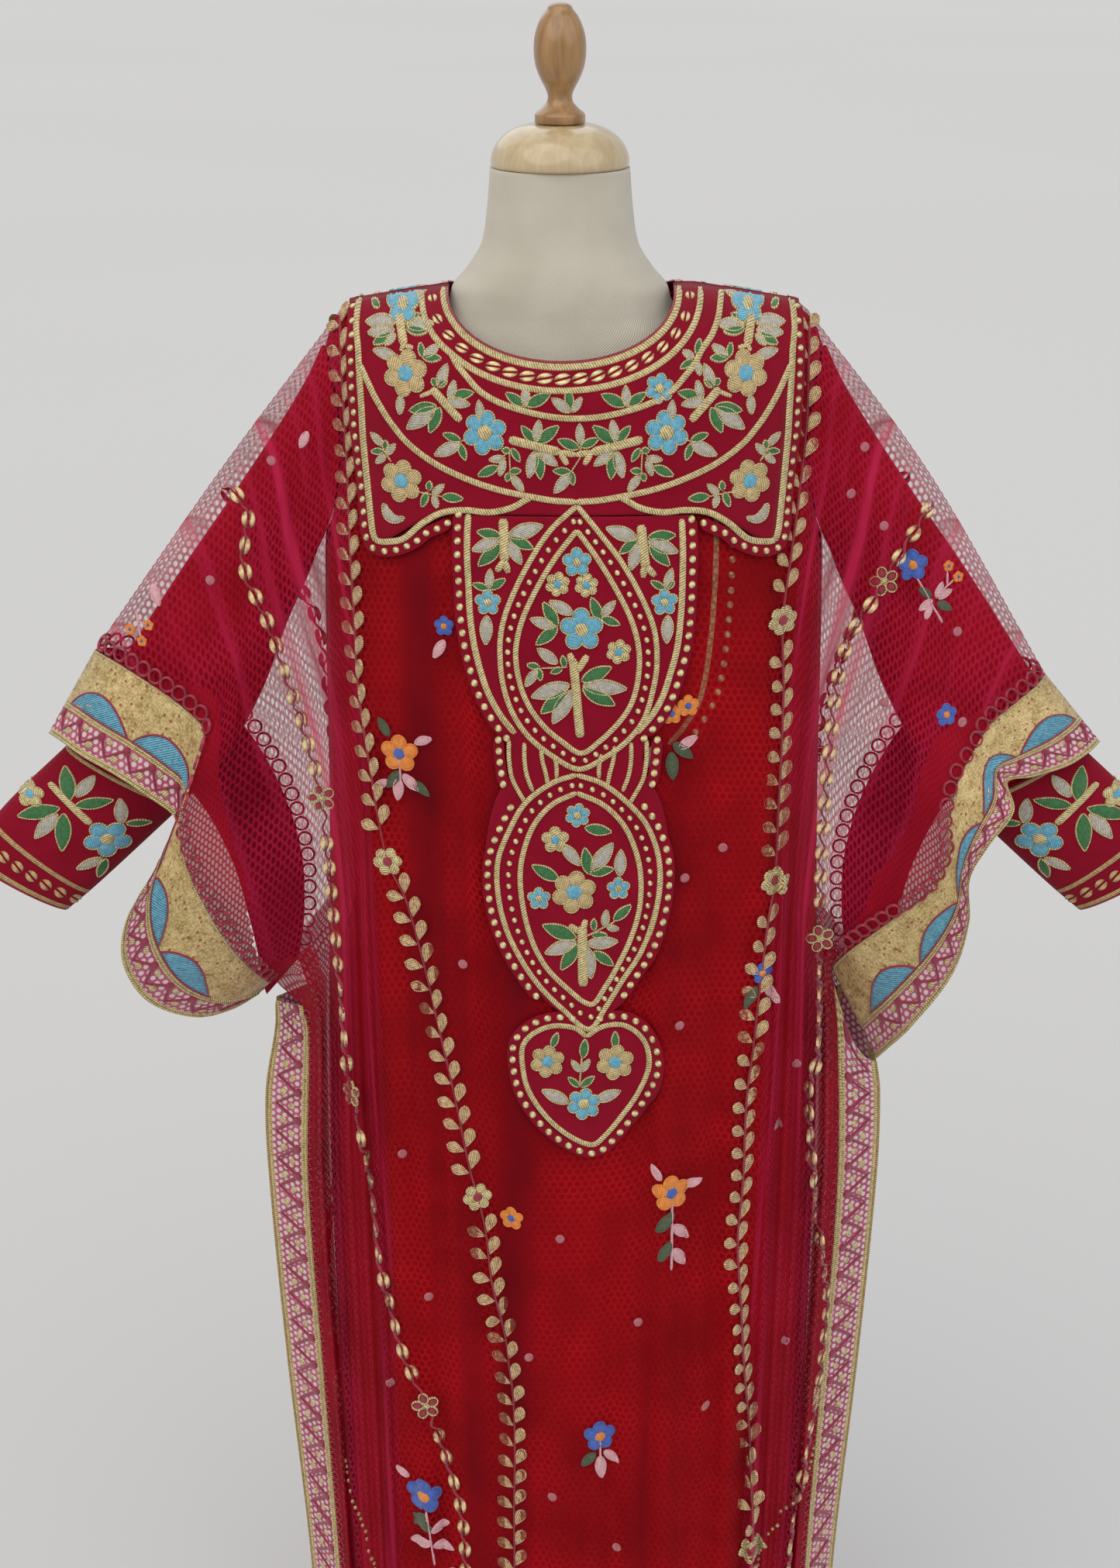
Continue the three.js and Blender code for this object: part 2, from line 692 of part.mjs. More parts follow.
// ---------- dress form ----------
function loft(table, sides, corner) {
  const grid = table.map((row) => Array.from({ length: sides }, (_, k) => {
    const angle = 2 * Math.PI * k / sides;
    const [c, s] = [Math.cos(angle), Math.sin(angle)];
    const depth = s < 0 ? row.front : row.back;
    const size = (Math.abs(c) ** corner + Math.abs(s) ** corner) ** (-1 / corner);
    return new THREE.Vector3(row.half * c * size, depth * s * size, row.z);
  }));
  const points = [...grid.flat(), new THREE.Vector3(0, 0, table[0].z),
    new THREE.Vector3(0, 0, table.at(-1).z)];
  const [top, bottom] = [points.length - 2, points.length - 1];
  const triangles = [];
  for (let k = 0; k < sides; k += 1) {
    const next = (k + 1) % sides;
    const low = (table.length - 1) * sides;
    triangles.push([top, k, next], [bottom, low + next, low + k]);
    for (let i = 0; i < table.length - 1; i += 1) {
      const [a, b] = [i * sides + k, i * sides + next];
      triangles.push([a, a + sides, b + sides], [a, b + sides, b]);
    }
  }
  return geometryOf(points, triangles);
}

function lathe(profile, sides) {
  const points = profile.map(([r, z]) => new THREE.Vector2(r, z));
  return new THREE.LatheGeometry(points, sides).rotateX(Math.PI / 2);
}

function capShape() {
  const profile = [[0, CAP.z]];
  for (let k = 0; k <= 4; k += 1) {
    const angle = -Math.PI / 2 + (Math.PI * k) / 4;
    profile.push([CAP.rim - CAP.lip / 2 + Math.cos(angle) * CAP.lip / 2,
      CAP.z + CAP.lip / 2 + Math.sin(angle) * CAP.lip / 2]);
  }
  const dome = CAP.top - CAP.z - CAP.lip;
  const start = CAP.rim - CAP.lip / 2;
  for (let k = 1; k <= 5; k += 1) {
    const f = k / 5;
    profile.push([start + (CAP.boss - start) * f,
      CAP.z + CAP.lip + dome * Math.sin(f * Math.PI / 2) ** 0.9]);
  }
  profile.push([0, CAP.top]);
  return lathe(profile, 24);
}

function finialShape() {
  const foot = CAP.top + SEAM;
  const profile = FINIAL.map(({ z, r }) => [r, foot + z]);
  return lathe([[0, foot], ...profile, [0, foot + FINIAL_TOP]], 16);
}

function baseShape() {
  const { r, z, round } = BASE;
  const arc = [0, 1, 2, 3].map((k) => {
    const angle = (Math.PI / 2) * (k / 3);
    return [r - round + Math.cos(angle) * round, z - round + Math.sin(angle) * round];
  });
  return lathe([[0, 0], [r - 3, 0], [r, 3], ...arc, [0, z]], 30);
}

function poleShape() {
  const top = FORM.at(-1).z - SEAM;
  return lathe([[0, BASE.z + SEAM], [POLE_R, BASE.z + SEAM], [POLE_R, top], [0, top]], 16);
}

// ---------- the whole ----------
const part = new THREE.Group();
const WOOD = 0.35;
part.add(
  mesh('form_base', baseShape(), COLOURS.capWood, WOOD),
  mesh('form_pole', poleShape(), COLOURS.steel, 0.3, 1),
  mesh('form_torso', loft(FORM, FORM_SIDES, FORM_CORNER), COLOURS.canvas),
  mesh('form_cap', capShape(), COLOURS.capWood, WOOD),
  mesh('form_finial', finialShape(), COLOURS.finialWood, WOOD),
);

for (const [sideName, side] of [['front', -1], ['back', 1]]) {
  part.add(
    mesh(`robe_${sideName}`, robePanel(side), COLOURS.robe),
    mesh(`thobe_${sideName}`, netCentre(side), COLOURS.net),
    mesh(`yoke_${sideName}`, yoke(side), COLOURS.ground),
  );
  for (const [handName, hand] of [['left', -1], ['right', 1]]) {
    part.add(
      mesh(`thobe_side_${sideName}_${handName}`, netSidePanel(hand, side), COLOURS.net),
      mesh(`sleeve_border_${sideName}_${handName}`, sleeveBorder(hand, side), COLOURS.gold),
      mesh(`side_band_${sideName}_${handName}`, sideBand(hand, side), COLOURS.gold),
    );
  }
}
for (const [handName, hand] of [['left', -1], ['right', 1]]) {
  part.add(
    mesh(`robe_sleeve_${handName}`, robeSleeve(hand), COLOURS.robe),
    mesh(`robe_cuff_${handName}`, robeCuff(hand), COLOURS.ground),
  );
}
part.add(mesh('plastron', plastron(), COLOURS.ground));

export default part;
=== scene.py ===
"""A sheer net thobe with embroidered yoke and gold borders, over its own crimson robe, on a
limbless dress form. Shapes are worked out in millimetres and made in metres."""
import math

import bmesh
import bpy
import numpy as np
from mathutils import Matrix
from mathutils.bvhtree import BVHTree


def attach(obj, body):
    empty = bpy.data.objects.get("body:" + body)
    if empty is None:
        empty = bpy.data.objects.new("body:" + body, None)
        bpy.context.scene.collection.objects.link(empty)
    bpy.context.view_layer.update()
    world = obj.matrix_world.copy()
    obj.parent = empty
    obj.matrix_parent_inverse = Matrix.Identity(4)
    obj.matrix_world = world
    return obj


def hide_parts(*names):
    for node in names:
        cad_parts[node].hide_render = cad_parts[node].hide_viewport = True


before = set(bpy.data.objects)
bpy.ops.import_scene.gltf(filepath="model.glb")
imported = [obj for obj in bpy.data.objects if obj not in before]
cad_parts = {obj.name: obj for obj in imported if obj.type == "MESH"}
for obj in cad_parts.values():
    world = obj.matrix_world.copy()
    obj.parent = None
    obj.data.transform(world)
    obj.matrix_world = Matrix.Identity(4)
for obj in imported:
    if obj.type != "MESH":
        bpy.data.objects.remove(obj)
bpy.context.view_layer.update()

# ------------------------------------ camera
camera = bpy.data.objects.new("camera", bpy.data.cameras.new("camera"))
camera.location, camera.rotation_euler = (0, -2.5, 1.84), (math.radians(71.8), 0, 0)
camera.data.sensor_fit, camera.data.sensor_height, camera.data.lens = "VERTICAL", 36, 67.37
bpy.context.collection.objects.link(camera)
bpy.context.scene.camera = camera
bpy.context.scene.view_settings.view_transform = "Standard"

# ------------------------------------ materials
MATH, NOISE, MAPPING = "ShaderNodeMath", "ShaderNodeTexNoise", "ShaderNodeMapping"
RAMP, MIX, CELLS, BUMP = ("ShaderNodeValToRGB", "ShaderNodeMix", "ShaderNodeTexVoronoi",
                          "ShaderNodeBump")
VECTOR, APART = "ShaderNodeVectorMath", "ShaderNodeSeparateXYZ"


def colour(code):
    """A linear colour from an sRGB hex value."""
    parts = [int(code[i:i + 2], 16) / 255 for i in (1, 3, 5)]
    return [c / 12.92 if c <= 0.04045 else ((c + 0.055) / 1.055) ** 2.4 for c in parts] + [1]


def add(tree, kind, settings=(), **links):
    """Adds a node. Settings are its attributes, its sockets' values or a ramp's stops, links
    the sources of its inputs by name, or by number as _0 and so on."""
    node = tree.nodes.new(kind)
    for key, value in dict(settings).items():
        if key == "stops":
            for element, (at, tone) in zip(node.color_ramp.elements, value):
                element.position = at
                element.color = colour(tone) if isinstance(tone, str) else [tone] * 3 + [1]
        elif isinstance(key, str) and hasattr(node, key):
            setattr(node, key, value)
        else:
            node.inputs[key].default_value = value
    for key, source in links.items():
        key = int(key[1:]) if key[1:].isdigit() else key.replace("_", " ")
        tree.links.new(source if isinstance(source, bpy.types.NodeSocket)
                       else source.outputs[0], node.inputs[key])
    return node


def begin(name, **values):
    """A new material: itself, its node tree, its shader, its place in space and on the cloth."""
    material = bpy.data.materials.new(name)
    material.use_nodes = True
    tree = material.node_tree
    shader = tree.nodes["Principled BSDF"]
    for key, value in values.items():
        shader.inputs[key.replace("_", " ")].default_value = value
    place = add(tree, "ShaderNodeTexCoord")
    return material, tree, shader, place.outputs["Object"], place.outputs["UV"]


def finish(tree, shader, tone, stops, height=None, strength=0.3, depth_mm=0.4):
    """Colours the shader along a value and raises its surface by another."""
    dyed = add(tree, RAMP, {"stops": stops}, _0=tone)
    tree.links.new(dyed.outputs[0], shader.inputs["Base Color"])
    if height is not None:
        bump = add(tree, BUMP, {"Strength": strength, "Distance": depth_mm / 1000},
                   Height=height)
        tree.links.new(bump.outputs[0], shader.inputs["Normal"])
    return dyed


def woven(name, dark, light, roughness, sheen, strength, blotches, uneven):
    """Plain woven cloth: crossing threads, drawn coarser than real to show, and a dye that is
    uneven in so many blotches a metre."""
    thread_mm = 1.2
    material, tree, shader, body, cloth = begin(
        name, Roughness=roughness, Sheen_Weight=sheen, Specular_IOR_Level=0.08)
    apart = add(tree, APART, Vector=cloth)
    threads = [add(tree, MATH, {"operation": "SINE"}, _0=add(
        tree, MATH, {"operation": "MULTIPLY", 1: math.pi / (thread_mm / 1000)},
        _0=apart.outputs[axis])) for axis in (0, 1)]
    weave = add(tree, MATH, {"operation": "MULTIPLY"}, _0=threads[0], _1=threads[1])
    blotch = add(tree, NOISE, {"Scale": blotches, "Detail": 5.0}, Vector=body)
    dye = add(tree, MATH, {"operation": "MULTIPLY_ADD", 1: uneven * 2, 2: 0.5 - uneven},
              _0=blotch)
    mixed = add(tree, MATH, {"operation": "MULTIPLY_ADD", 1: 0.08}, _0=weave, _2=dye)
    finish(tree, shader, mixed, [(0.25, dark), (0.75, light)], weave, strength, thread_mm / 3)
    return material


def netting(name, dark, light, hole_mm, pitch_mm, web, open_, backing=None,
            streaks=(75, 0.0, "#B00C1C")):
    """Machine-made net: round holes hole_mm wide in staggered rows pitch_mm apart, with a
    pale cloth behind them where backing is its colour. Streaks are its long gathers, where
    the net lies doubled: how many a metre, how far they close it, and their colour, which
    on the body's net is a darker painted shade in the folds."""
    material, tree, shader, body, cloth = begin(name, Roughness=0.7, Specular_IOR_Level=0.08)
    cell = np.array([pitch_mm, pitch_mm * math.sqrt(3)]) / 1000
    away = []
    for shift in (0.0, 0.5):
        scaled = add(tree, MAPPING, {
            "vector_type": "POINT", "Scale": (1 / cell[0], 1 / cell[1], 0),
            "Location": (shift, shift, 0)}, Vector=cloth)
        part = add(tree, VECTOR, {"operation": "FRACTION"}, Vector=scaled)
        middle = add(tree, VECTOR, {"operation": "SUBTRACT", 1: (0.5, 0.5, 0)},
                     _0=part)
        real = add(tree, VECTOR, {
            "operation": "MULTIPLY", 1: (cell[0], cell[1], 0)}, _0=middle)
        away.append(add(tree, VECTOR, {"operation": "LENGTH"},
                        _0=real).outputs["Value"])
    near = add(tree, MATH, {"operation": "MINIMUM"}, _0=away[0], _1=away[1])
    edge = add(tree, "ShaderNodeMapRange", {
        "From Min": hole_mm / 2000 - 0.0003, "From Max": hole_mm / 2000 + 0.0004,
        "To Min": open_, "To Max": web}, Value=near)
    cloud = add(tree, NOISE, {"Scale": 14.0, "Detail": 4.0}, Vector=body)
    dye = add(tree, RAMP, {"stops": [(0.3, dark), (0.7, light)]}, _0=cloud)
    if backing:
        dye = add(tree, MIX, {"data_type": "RGBA", 6: colour(backing)}, _0=edge, _7=dye)
    else:
        # the streaks close the net where it lies doubled and mix in their colour, which on the
        # body's net is a painted fold shade
        per_metre, closing, tint = streaks
        long = add(tree, MAPPING, {"Scale": (per_metre, per_metre / 25, 0)}, Vector=cloth)
        drawn = add(tree, NOISE, {"Scale": 1.0, "Detail": 3.0}, Vector=long)
        close = add(tree, RAMP, {"stops": [(0.5, 0.0), (0.66, closing)]}, _0=drawn)
        dye = add(tree, MIX, {"data_type": "RGBA", 7: colour(tint)}, _0=close, _6=dye)
        alpha = add(tree, MATH, {"operation": "MAXIMUM"}, _0=edge, _1=close)
        tree.links.new(alpha.outputs[0], shader.inputs["Alpha"])
    tree.links.new(dye.outputs[2], shader.inputs["Base Color"])
    return material


def stitched(name, dark, light, pitch_mm=1.6, roughness=0.5, sheen=0.3, metallic=0.0):
    """Thread laid side by side, pitch_mm apart across the shape, as in satin stitch. The
    real thread is about 0.4 mm, drawn coarser so that it shows."""
    material, tree, shader, body, cloth = begin(
        name, Roughness=roughness, Sheen_Weight=sheen, Metallic=metallic)
    apart = add(tree, APART, Vector=cloth)
    waver = add(tree, NOISE, {"Scale": 500.0, "Detail": 2.0}, Vector=body)
    rate = 2 * math.pi / (pitch_mm / 1000)
    turn = add(tree, MATH, {"operation": "MULTIPLY", 1: 3.0}, _0=waver)
    for axis, turns in ((1, rate * 0.5), (0, rate)):
        turn = add(tree, MATH, {"operation": "MULTIPLY_ADD", 1: turns},
                   _0=apart.outputs[axis], _2=turn)
    thread = add(tree, MATH, {"operation": "SINE"}, _0=turn)
    # painted glitter in small patches, and painted shade along each thread: lighter on its crest,
    # darker between threads
    painted_glitter = add(tree, NOISE, {"Scale": 300.0, "Detail": 3.0}, Vector=body)
    painted_thread_shade = add(tree, MATH, {"operation": "MULTIPLY_ADD", 1: 0.3, 2: 0.02}, _0=thread)
    mixed = add(tree, MATH, {"operation": "ADD"}, _0=painted_glitter, _1=painted_thread_shade)
    finish(tree, shader, mixed, [(0.15, dark), (0.85, light)], thread, 0.5, pitch_mm / 4)
    return material


def gold_lace(name, dark, light, dots):
    """Close metal-thread lace: tiny gold loops about 3 mm across with sparse crimson dots."""
    material, tree, shader, body, cloth = begin(
        name, Roughness=0.42, Metallic=0.25, Sheen_Weight=0.2)
    loops = add(tree, CELLS, {"Scale": 420.0, "Randomness": 0.7}, Vector=cloth)
    spots = add(tree, CELLS, {"Scale": 150.0, "Randomness": 0.5}, Vector=cloth)
    cloud = add(tree, NOISE, {"Scale": 90.0, "Detail": 4.0}, Vector=body)
    tarnish = add(tree, MATH, {"operation": "MULTIPLY_ADD", 1: 0.7, 2: 0.42}, _0=cloud)
    shade = add(tree, MATH, {"operation": "MULTIPLY_ADD", 1: -0.55}, _0=loops, _2=tarnish)
    gold = finish(tree, shader, shade, [(0.2, dark), (0.8, light)], loops, 0.6, 0.6)
    spot = add(tree, RAMP, {"stops": [(0.17, 0.8), (0.27, 0.0)]}, _0=spots)
    blend = add(tree, MIX, {"data_type": "RGBA", 7: colour(dots)}, _0=spot, _6=gold)
    tree.links.new(blend.outputs[2], shader.inputs["Base Color"])
    return material


def canvas_twill(name, dark, light):
    """Cotton twill over the form's padding: diagonal ribs, drawn 1.8 mm apart to show."""
    material, tree, shader, body, cloth = begin(name, Roughness=0.9, Sheen_Weight=0.25)
    apart = add(tree, APART, Vector=cloth)
    rate = 2 * math.pi / 0.0018
    down = add(tree, MATH, {"operation": "MULTIPLY", 1: rate}, _0=apart.outputs[1])
    turn = add(tree, MATH, {"operation": "MULTIPLY_ADD", 1: rate}, _0=apart.outputs[0],
               _2=down)
    rib = add(tree, MATH, {"operation": "SINE"}, _0=turn)
    soil = add(tree, NOISE, {"Scale": 7.0, "Detail": 3.0}, Vector=body)
    mixed = add(tree, MATH, {"operation": "MULTIPLY_ADD", 1: 0.15}, _0=rib, _2=soil)
    finish(tree, shader, mixed, [(0.3, dark), (0.65, light)], rib)
    return material


def turned_wood(name, dark, light, roughness, coat):
    """Turned beech under varnish: long grain with short darker flecks."""
    material, tree, shader, body, _ = begin(
        name, Roughness=roughness, Coat_Weight=coat, Coat_Roughness=0.15)
    turned = add(tree, MAPPING, {"Scale": (1, 1, 0.12)}, Vector=body)
    bands = add(tree, NOISE, {"Scale": 104.0, "Detail": 6.0, "Distortion": 0.6},
                Vector=turned)
    flecks = add(tree, CELLS, {"Scale": 420.0}, Vector=turned)
    mixed = add(tree, MATH, {"operation": "MULTIPLY_ADD", 1: 0.1}, _0=flecks, _2=bands)
    finish(tree, shader, mixed, [(0.25, dark), (0.8, light)], bands, 0.08)
    return material


def brushed_steel(name, dark, light):
    """Brushed steel tube, its fine marks running round it."""
    material, tree, shader, body, _ = begin(name, Metallic=1.0)
    marks = add(tree, MAPPING, {"Scale": (30, 30, 900)}, Vector=body)
    noise = add(tree, NOISE, {"Scale": 1.0, "Detail": 3.0}, Vector=marks)
    finish(tree, shader, noise, [(0.3, dark), (0.7, light)])
    worn = add(tree, RAMP, {"stops": [(0.2, 0.26), (0.8, 0.4)]}, _0=noise)
    tree.links.new(worn.outputs[0], shader.inputs["Roughness"])
    return material


# dull see-through crimson net: over the body, on the sleeves, and where it is gathered
# its dark streak colour is painted shade in the long folds
NET = netting("crimson_nylon_net", "#6E0310", "#B00C1C", 4.9, 7.0, 0.62, 0.1,
              streaks=(16, 0.72, "#5E0210"))
SLEEVE_NET = netting("crimson_nylon_net_open", "#8A0826", "#B41840", 5.0, 7.4, 0.56, 0.1,
                     streaks=(36, 0.75, "#B8244C"))
GATHERED = netting("gathered_nylon_net", "#80041A", "#980C24", 3.6, 5.4, 0.96, 0.72)
# pink net whose pale backing shows in its holes
STRIP = netting("backed_openwork_net", "#9A4460", "#B4667E", 4.2, 6.6, 1.0, 0.0, "#CDBCB8")
# smooth bright cotton for the robe, and a matt dark felt under the embroidery
ROBE = woven("crimson_cotton_satin", "#8A0408", "#A4080E", 0.75, 0.03, 0.06, 15, 0.35)
GROUND = woven("crimson_wool_felt", "#74031A", "#8C0826", 0.85, 0.08, 0.5, 30, 0.3)
# metal threads between dull brown and pale gold, with painted glitter and painted thread shade
GOLD = stitched("gold_metal_thread", "#87713F", "#E0D09C", 2.2, 0.42, 0.2, 0.35)
OLD_GOLD = stitched("tarnished_gold_thread", "#80643A", "#C2A472", 2.2, 0.5, 0.2, 0.3)
OCHRE = stitched("ochre_metal_thread", "#927848", "#CFB986", 2.0, 0.45, 0.2, 0.2)
TEAL = stitched("teal_metal_thread", "#27627E", "#70B2C8", 2.0, 0.45, 0.2, 0.2)
CHAIN = stitched("gold_cord_on_crimson", "#7C2A1C", "#E2CC96", 1.8, 0.45, 0.2, 0.25)
# silks have a soft sheen and no metal, with the same painted glitter and thread shade
GREEN = stitched("green_silk", "#123F1A", "#2C7A38")
SILVER = stitched("silver_grey_silk", "#827C70", "#BFB9AC")
TURQUOISE = stitched("turquoise_silk", "#2D7A9A", "#74B8CC")
ROYAL = stitched("royal_blue_silk", "#1E3A86", "#3F66BE")
ORANGE = stitched("orange_silk", "#B65A0C", "#F09428")
CRIMSON = stitched("crimson_cord", "#74071F", "#A01232", 1.8)
MAROON = stitched("maroon_silk", "#70082A", "#9A1238")
PINK = stitched("pale_pink_silk", "#B87C86", "#DDB0B4")
DUSK = stitched("dusty_pink_silk", "#8E3A42", "#B8707A")
OLIVE = stitched("dark_olive_silk", "#28321C", "#4C5A34")
LACE = gold_lace("gold_metal_lace", "#8E6E32", "#E0CA90", "#8E3424")
CANVAS = canvas_twill("cotton_twill_canvas", "#ABA493", "#C8C2B3")
# glossy pale cap, satin brown finial, dull dark plate
CAP_WOOD = turned_wood("varnished_beech", "#A8926C", "#C4B08A", 0.25, 0.7)
FINIAL_WOOD = turned_wood("stained_beech", "#7A5428", "#A67E4C", 0.3, 0.6)
BASE_WOOD = turned_wood("dark_stained_beech", "#5A3A20", "#80562F", 0.4, 0.4)
STEEL = brushed_steel("brushed_steel", "#8A8D90", "#B9BCBE")

# ------------------------------------ sizes, in millimetres
GARMENT_X = 12.0               # the garment hangs a little to one side of the form's axis
HEM_Z = 40.0
HEM_V = 1430.0                 # the hem, by distance down the net
NET_EASE, YOKE_EASE = 4.0, 8.2  # how far the net and the yoke lie outside the under-robe
NECK_X, NECK_HALF, NECK_FRONT, NECK_BACK, NECK_HIDE = -11.0, 95.0, 51.0, 16.0, 2.5
RIDGE_X, RIDGE_Z, RIDGE_FALL, TIP_X, TIP_FALL = 103.0, 1458.1, 0.15, 190.0, 0.05
FRONT_ROUND, BACK_ROUND = 90.0, 36.0
BODY_CORNER = 2.6
ARM_TOP, ARM_LOW, ARM_CUT, ARM_GAP = 1414.0, 1252.0, 0.045, 1.35


def table(*rows):
    return np.array(rows, float)


# z, half width, front, back
BODY = table((1470, 214, 84, 64), (1415, 214, 93, 74), (1330, 207, 110, 93), (1252, 216, 125, 102),
    (1175, 218, 132, 105), (1000, 219, 135, 108), (700, 226, 141, 118), (400, 222, 148, 126),
    (40, 218, 154, 134))
# x, half width, depth, top
ROBE_FOLDS = table((-158, 24, 9, 1080), (-104, 26, 8, 1180), (-46, 30, 7, 900), (22, 32, 8, 700),
    (84, 26, 10, 1120), (140, 26, 9, 1020))
NET_FOLDS = table((-132, 20, 12, 1060), (-76, 22, 9, 860), (-12, 26, 7, 640), (54, 22, 10, 800),
    (112, 20, 13, 1000))
# cloth distance from the centre, half width, depth, top
SIDE_FOLDS = table((238, 22, 11, 240), (292, 22, 12, 330), (345, 24, 10, 420), (420, 26, 9, 250),
    (478, 24, 9, 300))
# v, x, z
LEAF_SEAM = table((0, 200, 1442.55), (60, 197, 1398), (130, 194, 1335), (210, 191, 1258),
    (300, 187, 1170), (370, 181, 1101), (460, 175, 1012), (700, 167, 771), (1060, 159, 411),
    (1430, 155, 40))
# v, x, y, z
DISC_LINE = table((0, 307, 0, 1304), (20, 300, -25, 1298), (40, 290, -37, 1284),
    (80, 281, -46, 1252), (130, 272, -56, 1208), (210, 246, -66, 1132), (300, 223, -74, 1046),
    (370, 214, -78, 978), (460, 208, -80, 890), (700, 206, -82, 678), (1060, 197, -88, 362),
    (1430, 185, -95, 40))
BORDER = {
    ("inner", -1): table((0, 423, 0, 1143), (20, 409, -20, 1142), (46, 390, -34, 1135),
        (84, 361, -50, 1121), (114, 337, -58, 1105), (137, 321, -66, 1088), (175, 330, -84, 1052),
        (215, 342, -92, 1012), (260, 336, -93, 970), (305, 320, -86, 926), (350, 303, -72, 888),
        (395, 288, -52, 860), (430, 278, -30, 843), (460, 274, -10, 834)),
    ("outer", -1): table((0, 468, 0, 1066), (20, 453, -20, 1064), (46, 435, -34, 1056),
        (84, 402, -47, 1041), (114, 374, -54, 1024), (140, 350, -62, 1007), (172, 352, -80, 990),
        (215, 369, -87, 960), (260, 393, -86, 922), (305, 400, -78, 878), (350, 382, -66, 836),
        (400, 343, -46, 812), (435, 311, -26, 812), (460, 284, -6, 822)),
    ("inner", 1): table((0, 418, 0, 1121), (20, 407, -20, 1116), (46, 388, -36, 1106),
        (84, 362, -54, 1090), (110, 350, -66, 1074), (140, 333, -84, 1048), (180, 325, -92, 1010),
        (215, 326, -92, 985), (260, 314, -88, 950), (315, 280, -78, 917), (385, 248, -64, 885),
        (430, 238, -48, 868), (460, 233, -38, 856)),
    ("outer", 1): table((0, 470, 0, 1058), (20, 458, -18, 1054), (46, 437, -33, 1046),
        (84, 403, -50, 1041), (110, 379, -62, 1040), (140, 384, -76, 1018), (180, 362, -83, 988),
        (215, 347, -83, 958), (260, 349, -79, 915), (315, 338, -68, 862), (385, 306, -46, 802),
        (430, 288, -22, 770), (460, 280, -7, 754)),
    ("inner", 0): table((0, 421, 0, 1132), (20, 409, 20, 1129), (46, 390, 33, 1121),
        (100, 346, 45, 1102), (160, 300, 51, 1058), (230, 266, 52, 994), (300, 250, 48, 934),
        (370, 248, 38, 884), (430, 251, 29, 854), (460, 254, 24, 840)),
    ("outer", 0): table((0, 469, 0, 1062), (20, 455, 20, 1058), (46, 433, 30, 1050),
        (100, 388, 40, 1030), (160, 345, 46, 990), (230, 315, 47, 930), (300, 300, 42, 876),
        (370, 290, 28, 836), (430, 285, 12, 818), (460, 282, 6, 812)),
}
BAND = {
    "inner": table((500, 241, -30, 790), (680, 245, -34, 645), (930, 236, -35, 447),
        (1200, 224, -44, 228), (1430, 219, -50, 40)),
    "outer": table((500, 274, -4, 786), (580, 285, -3, 720), (680, 285, -3, 640),
        (930, 273, -3, 441), (1200, 256, -3, 226), (1430, 249, -3, 40)),
}
BAND_TOP, SLEEVE_END, RIDGE_FADE = 466.0, 460.0, 120.0
BORDER_WIDE, BAND_WIDE, TRIM_LIFT = 79.0, 42.0, 0.6
CUFF_ACROSS, CUFF_DOWN = 110.0, 148.0
BAND_START = {"inner": (466, 246, -30, 816), "outer": (466, 273, -5, 811)}
BAND_SLANTED = {"inner": (466, 236, -34, 838), "outer": (540, 281, -2, 750)}
SLANT_DROP, SLANT_OVER = 74.0, 124.0
U_LEAF, U_DISC, U_BORDER = 200.0, 365.0, 548.0
# s, top x, top z, low x, low z, depth
SLEEVE = table((1, 243, 1364, 230, 1214, 29), (2, 292, 1291, 251, 1168, 28),
    (3, 348, 1212, 274, 1108, 26), (4, 404, 1127, 307, 1048, 25), (5, 449, 1058, 346, 1003, 24))
CUFF = table((0, 449.4, 1057.6, 346.4, 1002.6, 24.2), (0.7, 515, 994, 430, 924, 22),
    (1, 547, 950, 459, 899, 19))
# z, half width
YOKE_SIDE = table((1262, 168), (1320, 175), (1404, 182), (1453.2, 191))
# share of the half width, z
YOKE_LOWER = table((0, 1293), (0.56, 1293), (0.68, 1290), (0.82, 1279), (0.93, 1267), (1, 1266))
YOKE_BACK_LOW = 1310.0
# z, half width, centre
PLASTRON = table((1292.2, 95, 0), (1256, 98, 0), (1215, 98, 0), (1171, 92, 0), (1138, 80, 1),
    (1106, 60, 2), (1079, 56, 3), (1049, 70, 3), (1018, 77, 3), (985, 79, 3), (945, 74, 4),
    (905, 60, 7), (868, 34, 10), (851, 20, 11), (845, 46, 12), (832, 61, 12), (812, 65, 13),
    (788, 60, 14), (760, 43, 16), (738, 21, 17), (724, 5, 17))


# ------------------------------------ creases, listed one by one
# x, z at one end, x, z at the other, half width, depth (minus for a trough); front then back
CREASES = {-1: table(
    (-178, 1190, -150, 420, 15, 5), (-132, 1150, -118, 300, 13, -4), (-88, 1160, -92, 200, 12, 5),
    (-66, 900, -48, 80, 14, -4), (-22, 640, -8, 60, 16, 5), (36, 700, 30, 90, 14, -4),
    (70, 1010, 88, 240, 12, 4), (116, 1180, 134, 260, 14, -4), (160, 1240, 172, 480, 13, 5),
    (188, 1180, 196, 700, 12, -3), (-196, 1120, -202, 640, 12, 4),
    (-150, 700, -128, 60, 16, 4), (150, 620, 128, 50, 17, 5), (-60, 1282, -152, 1205, 15, 3),
    (78, 1276, 165, 1200, 15, 3), (-184, 1330, -150, 1230, 14, -3),
    (186, 1335, 156, 1236, 14, -3)), 1: table(
    (-172, 1240, -158, 380, 15, 5), (-120, 1300, -128, 260, 13, -4), (-74, 1250, -60, 180, 13, 5),
    (-28, 1180, -36, 120, 14, -4), (20, 1260, 12, 90, 15, 5), (66, 1220, 80, 160, 13, -4),
    (112, 1280, 104, 240, 14, 5), (158, 1230, 176, 420, 14, -4), (-190, 1150, -196, 560, 12, 4),
    (192, 1160, 190, 600, 12, 4), (60, 700, 44, 50, 18, 4), (-90, 640, -110, 60, 17, -4),
    (-40, 1392, -140, 1330, 18, -3), (46, 1390, 142, 1328, 18, -3))}
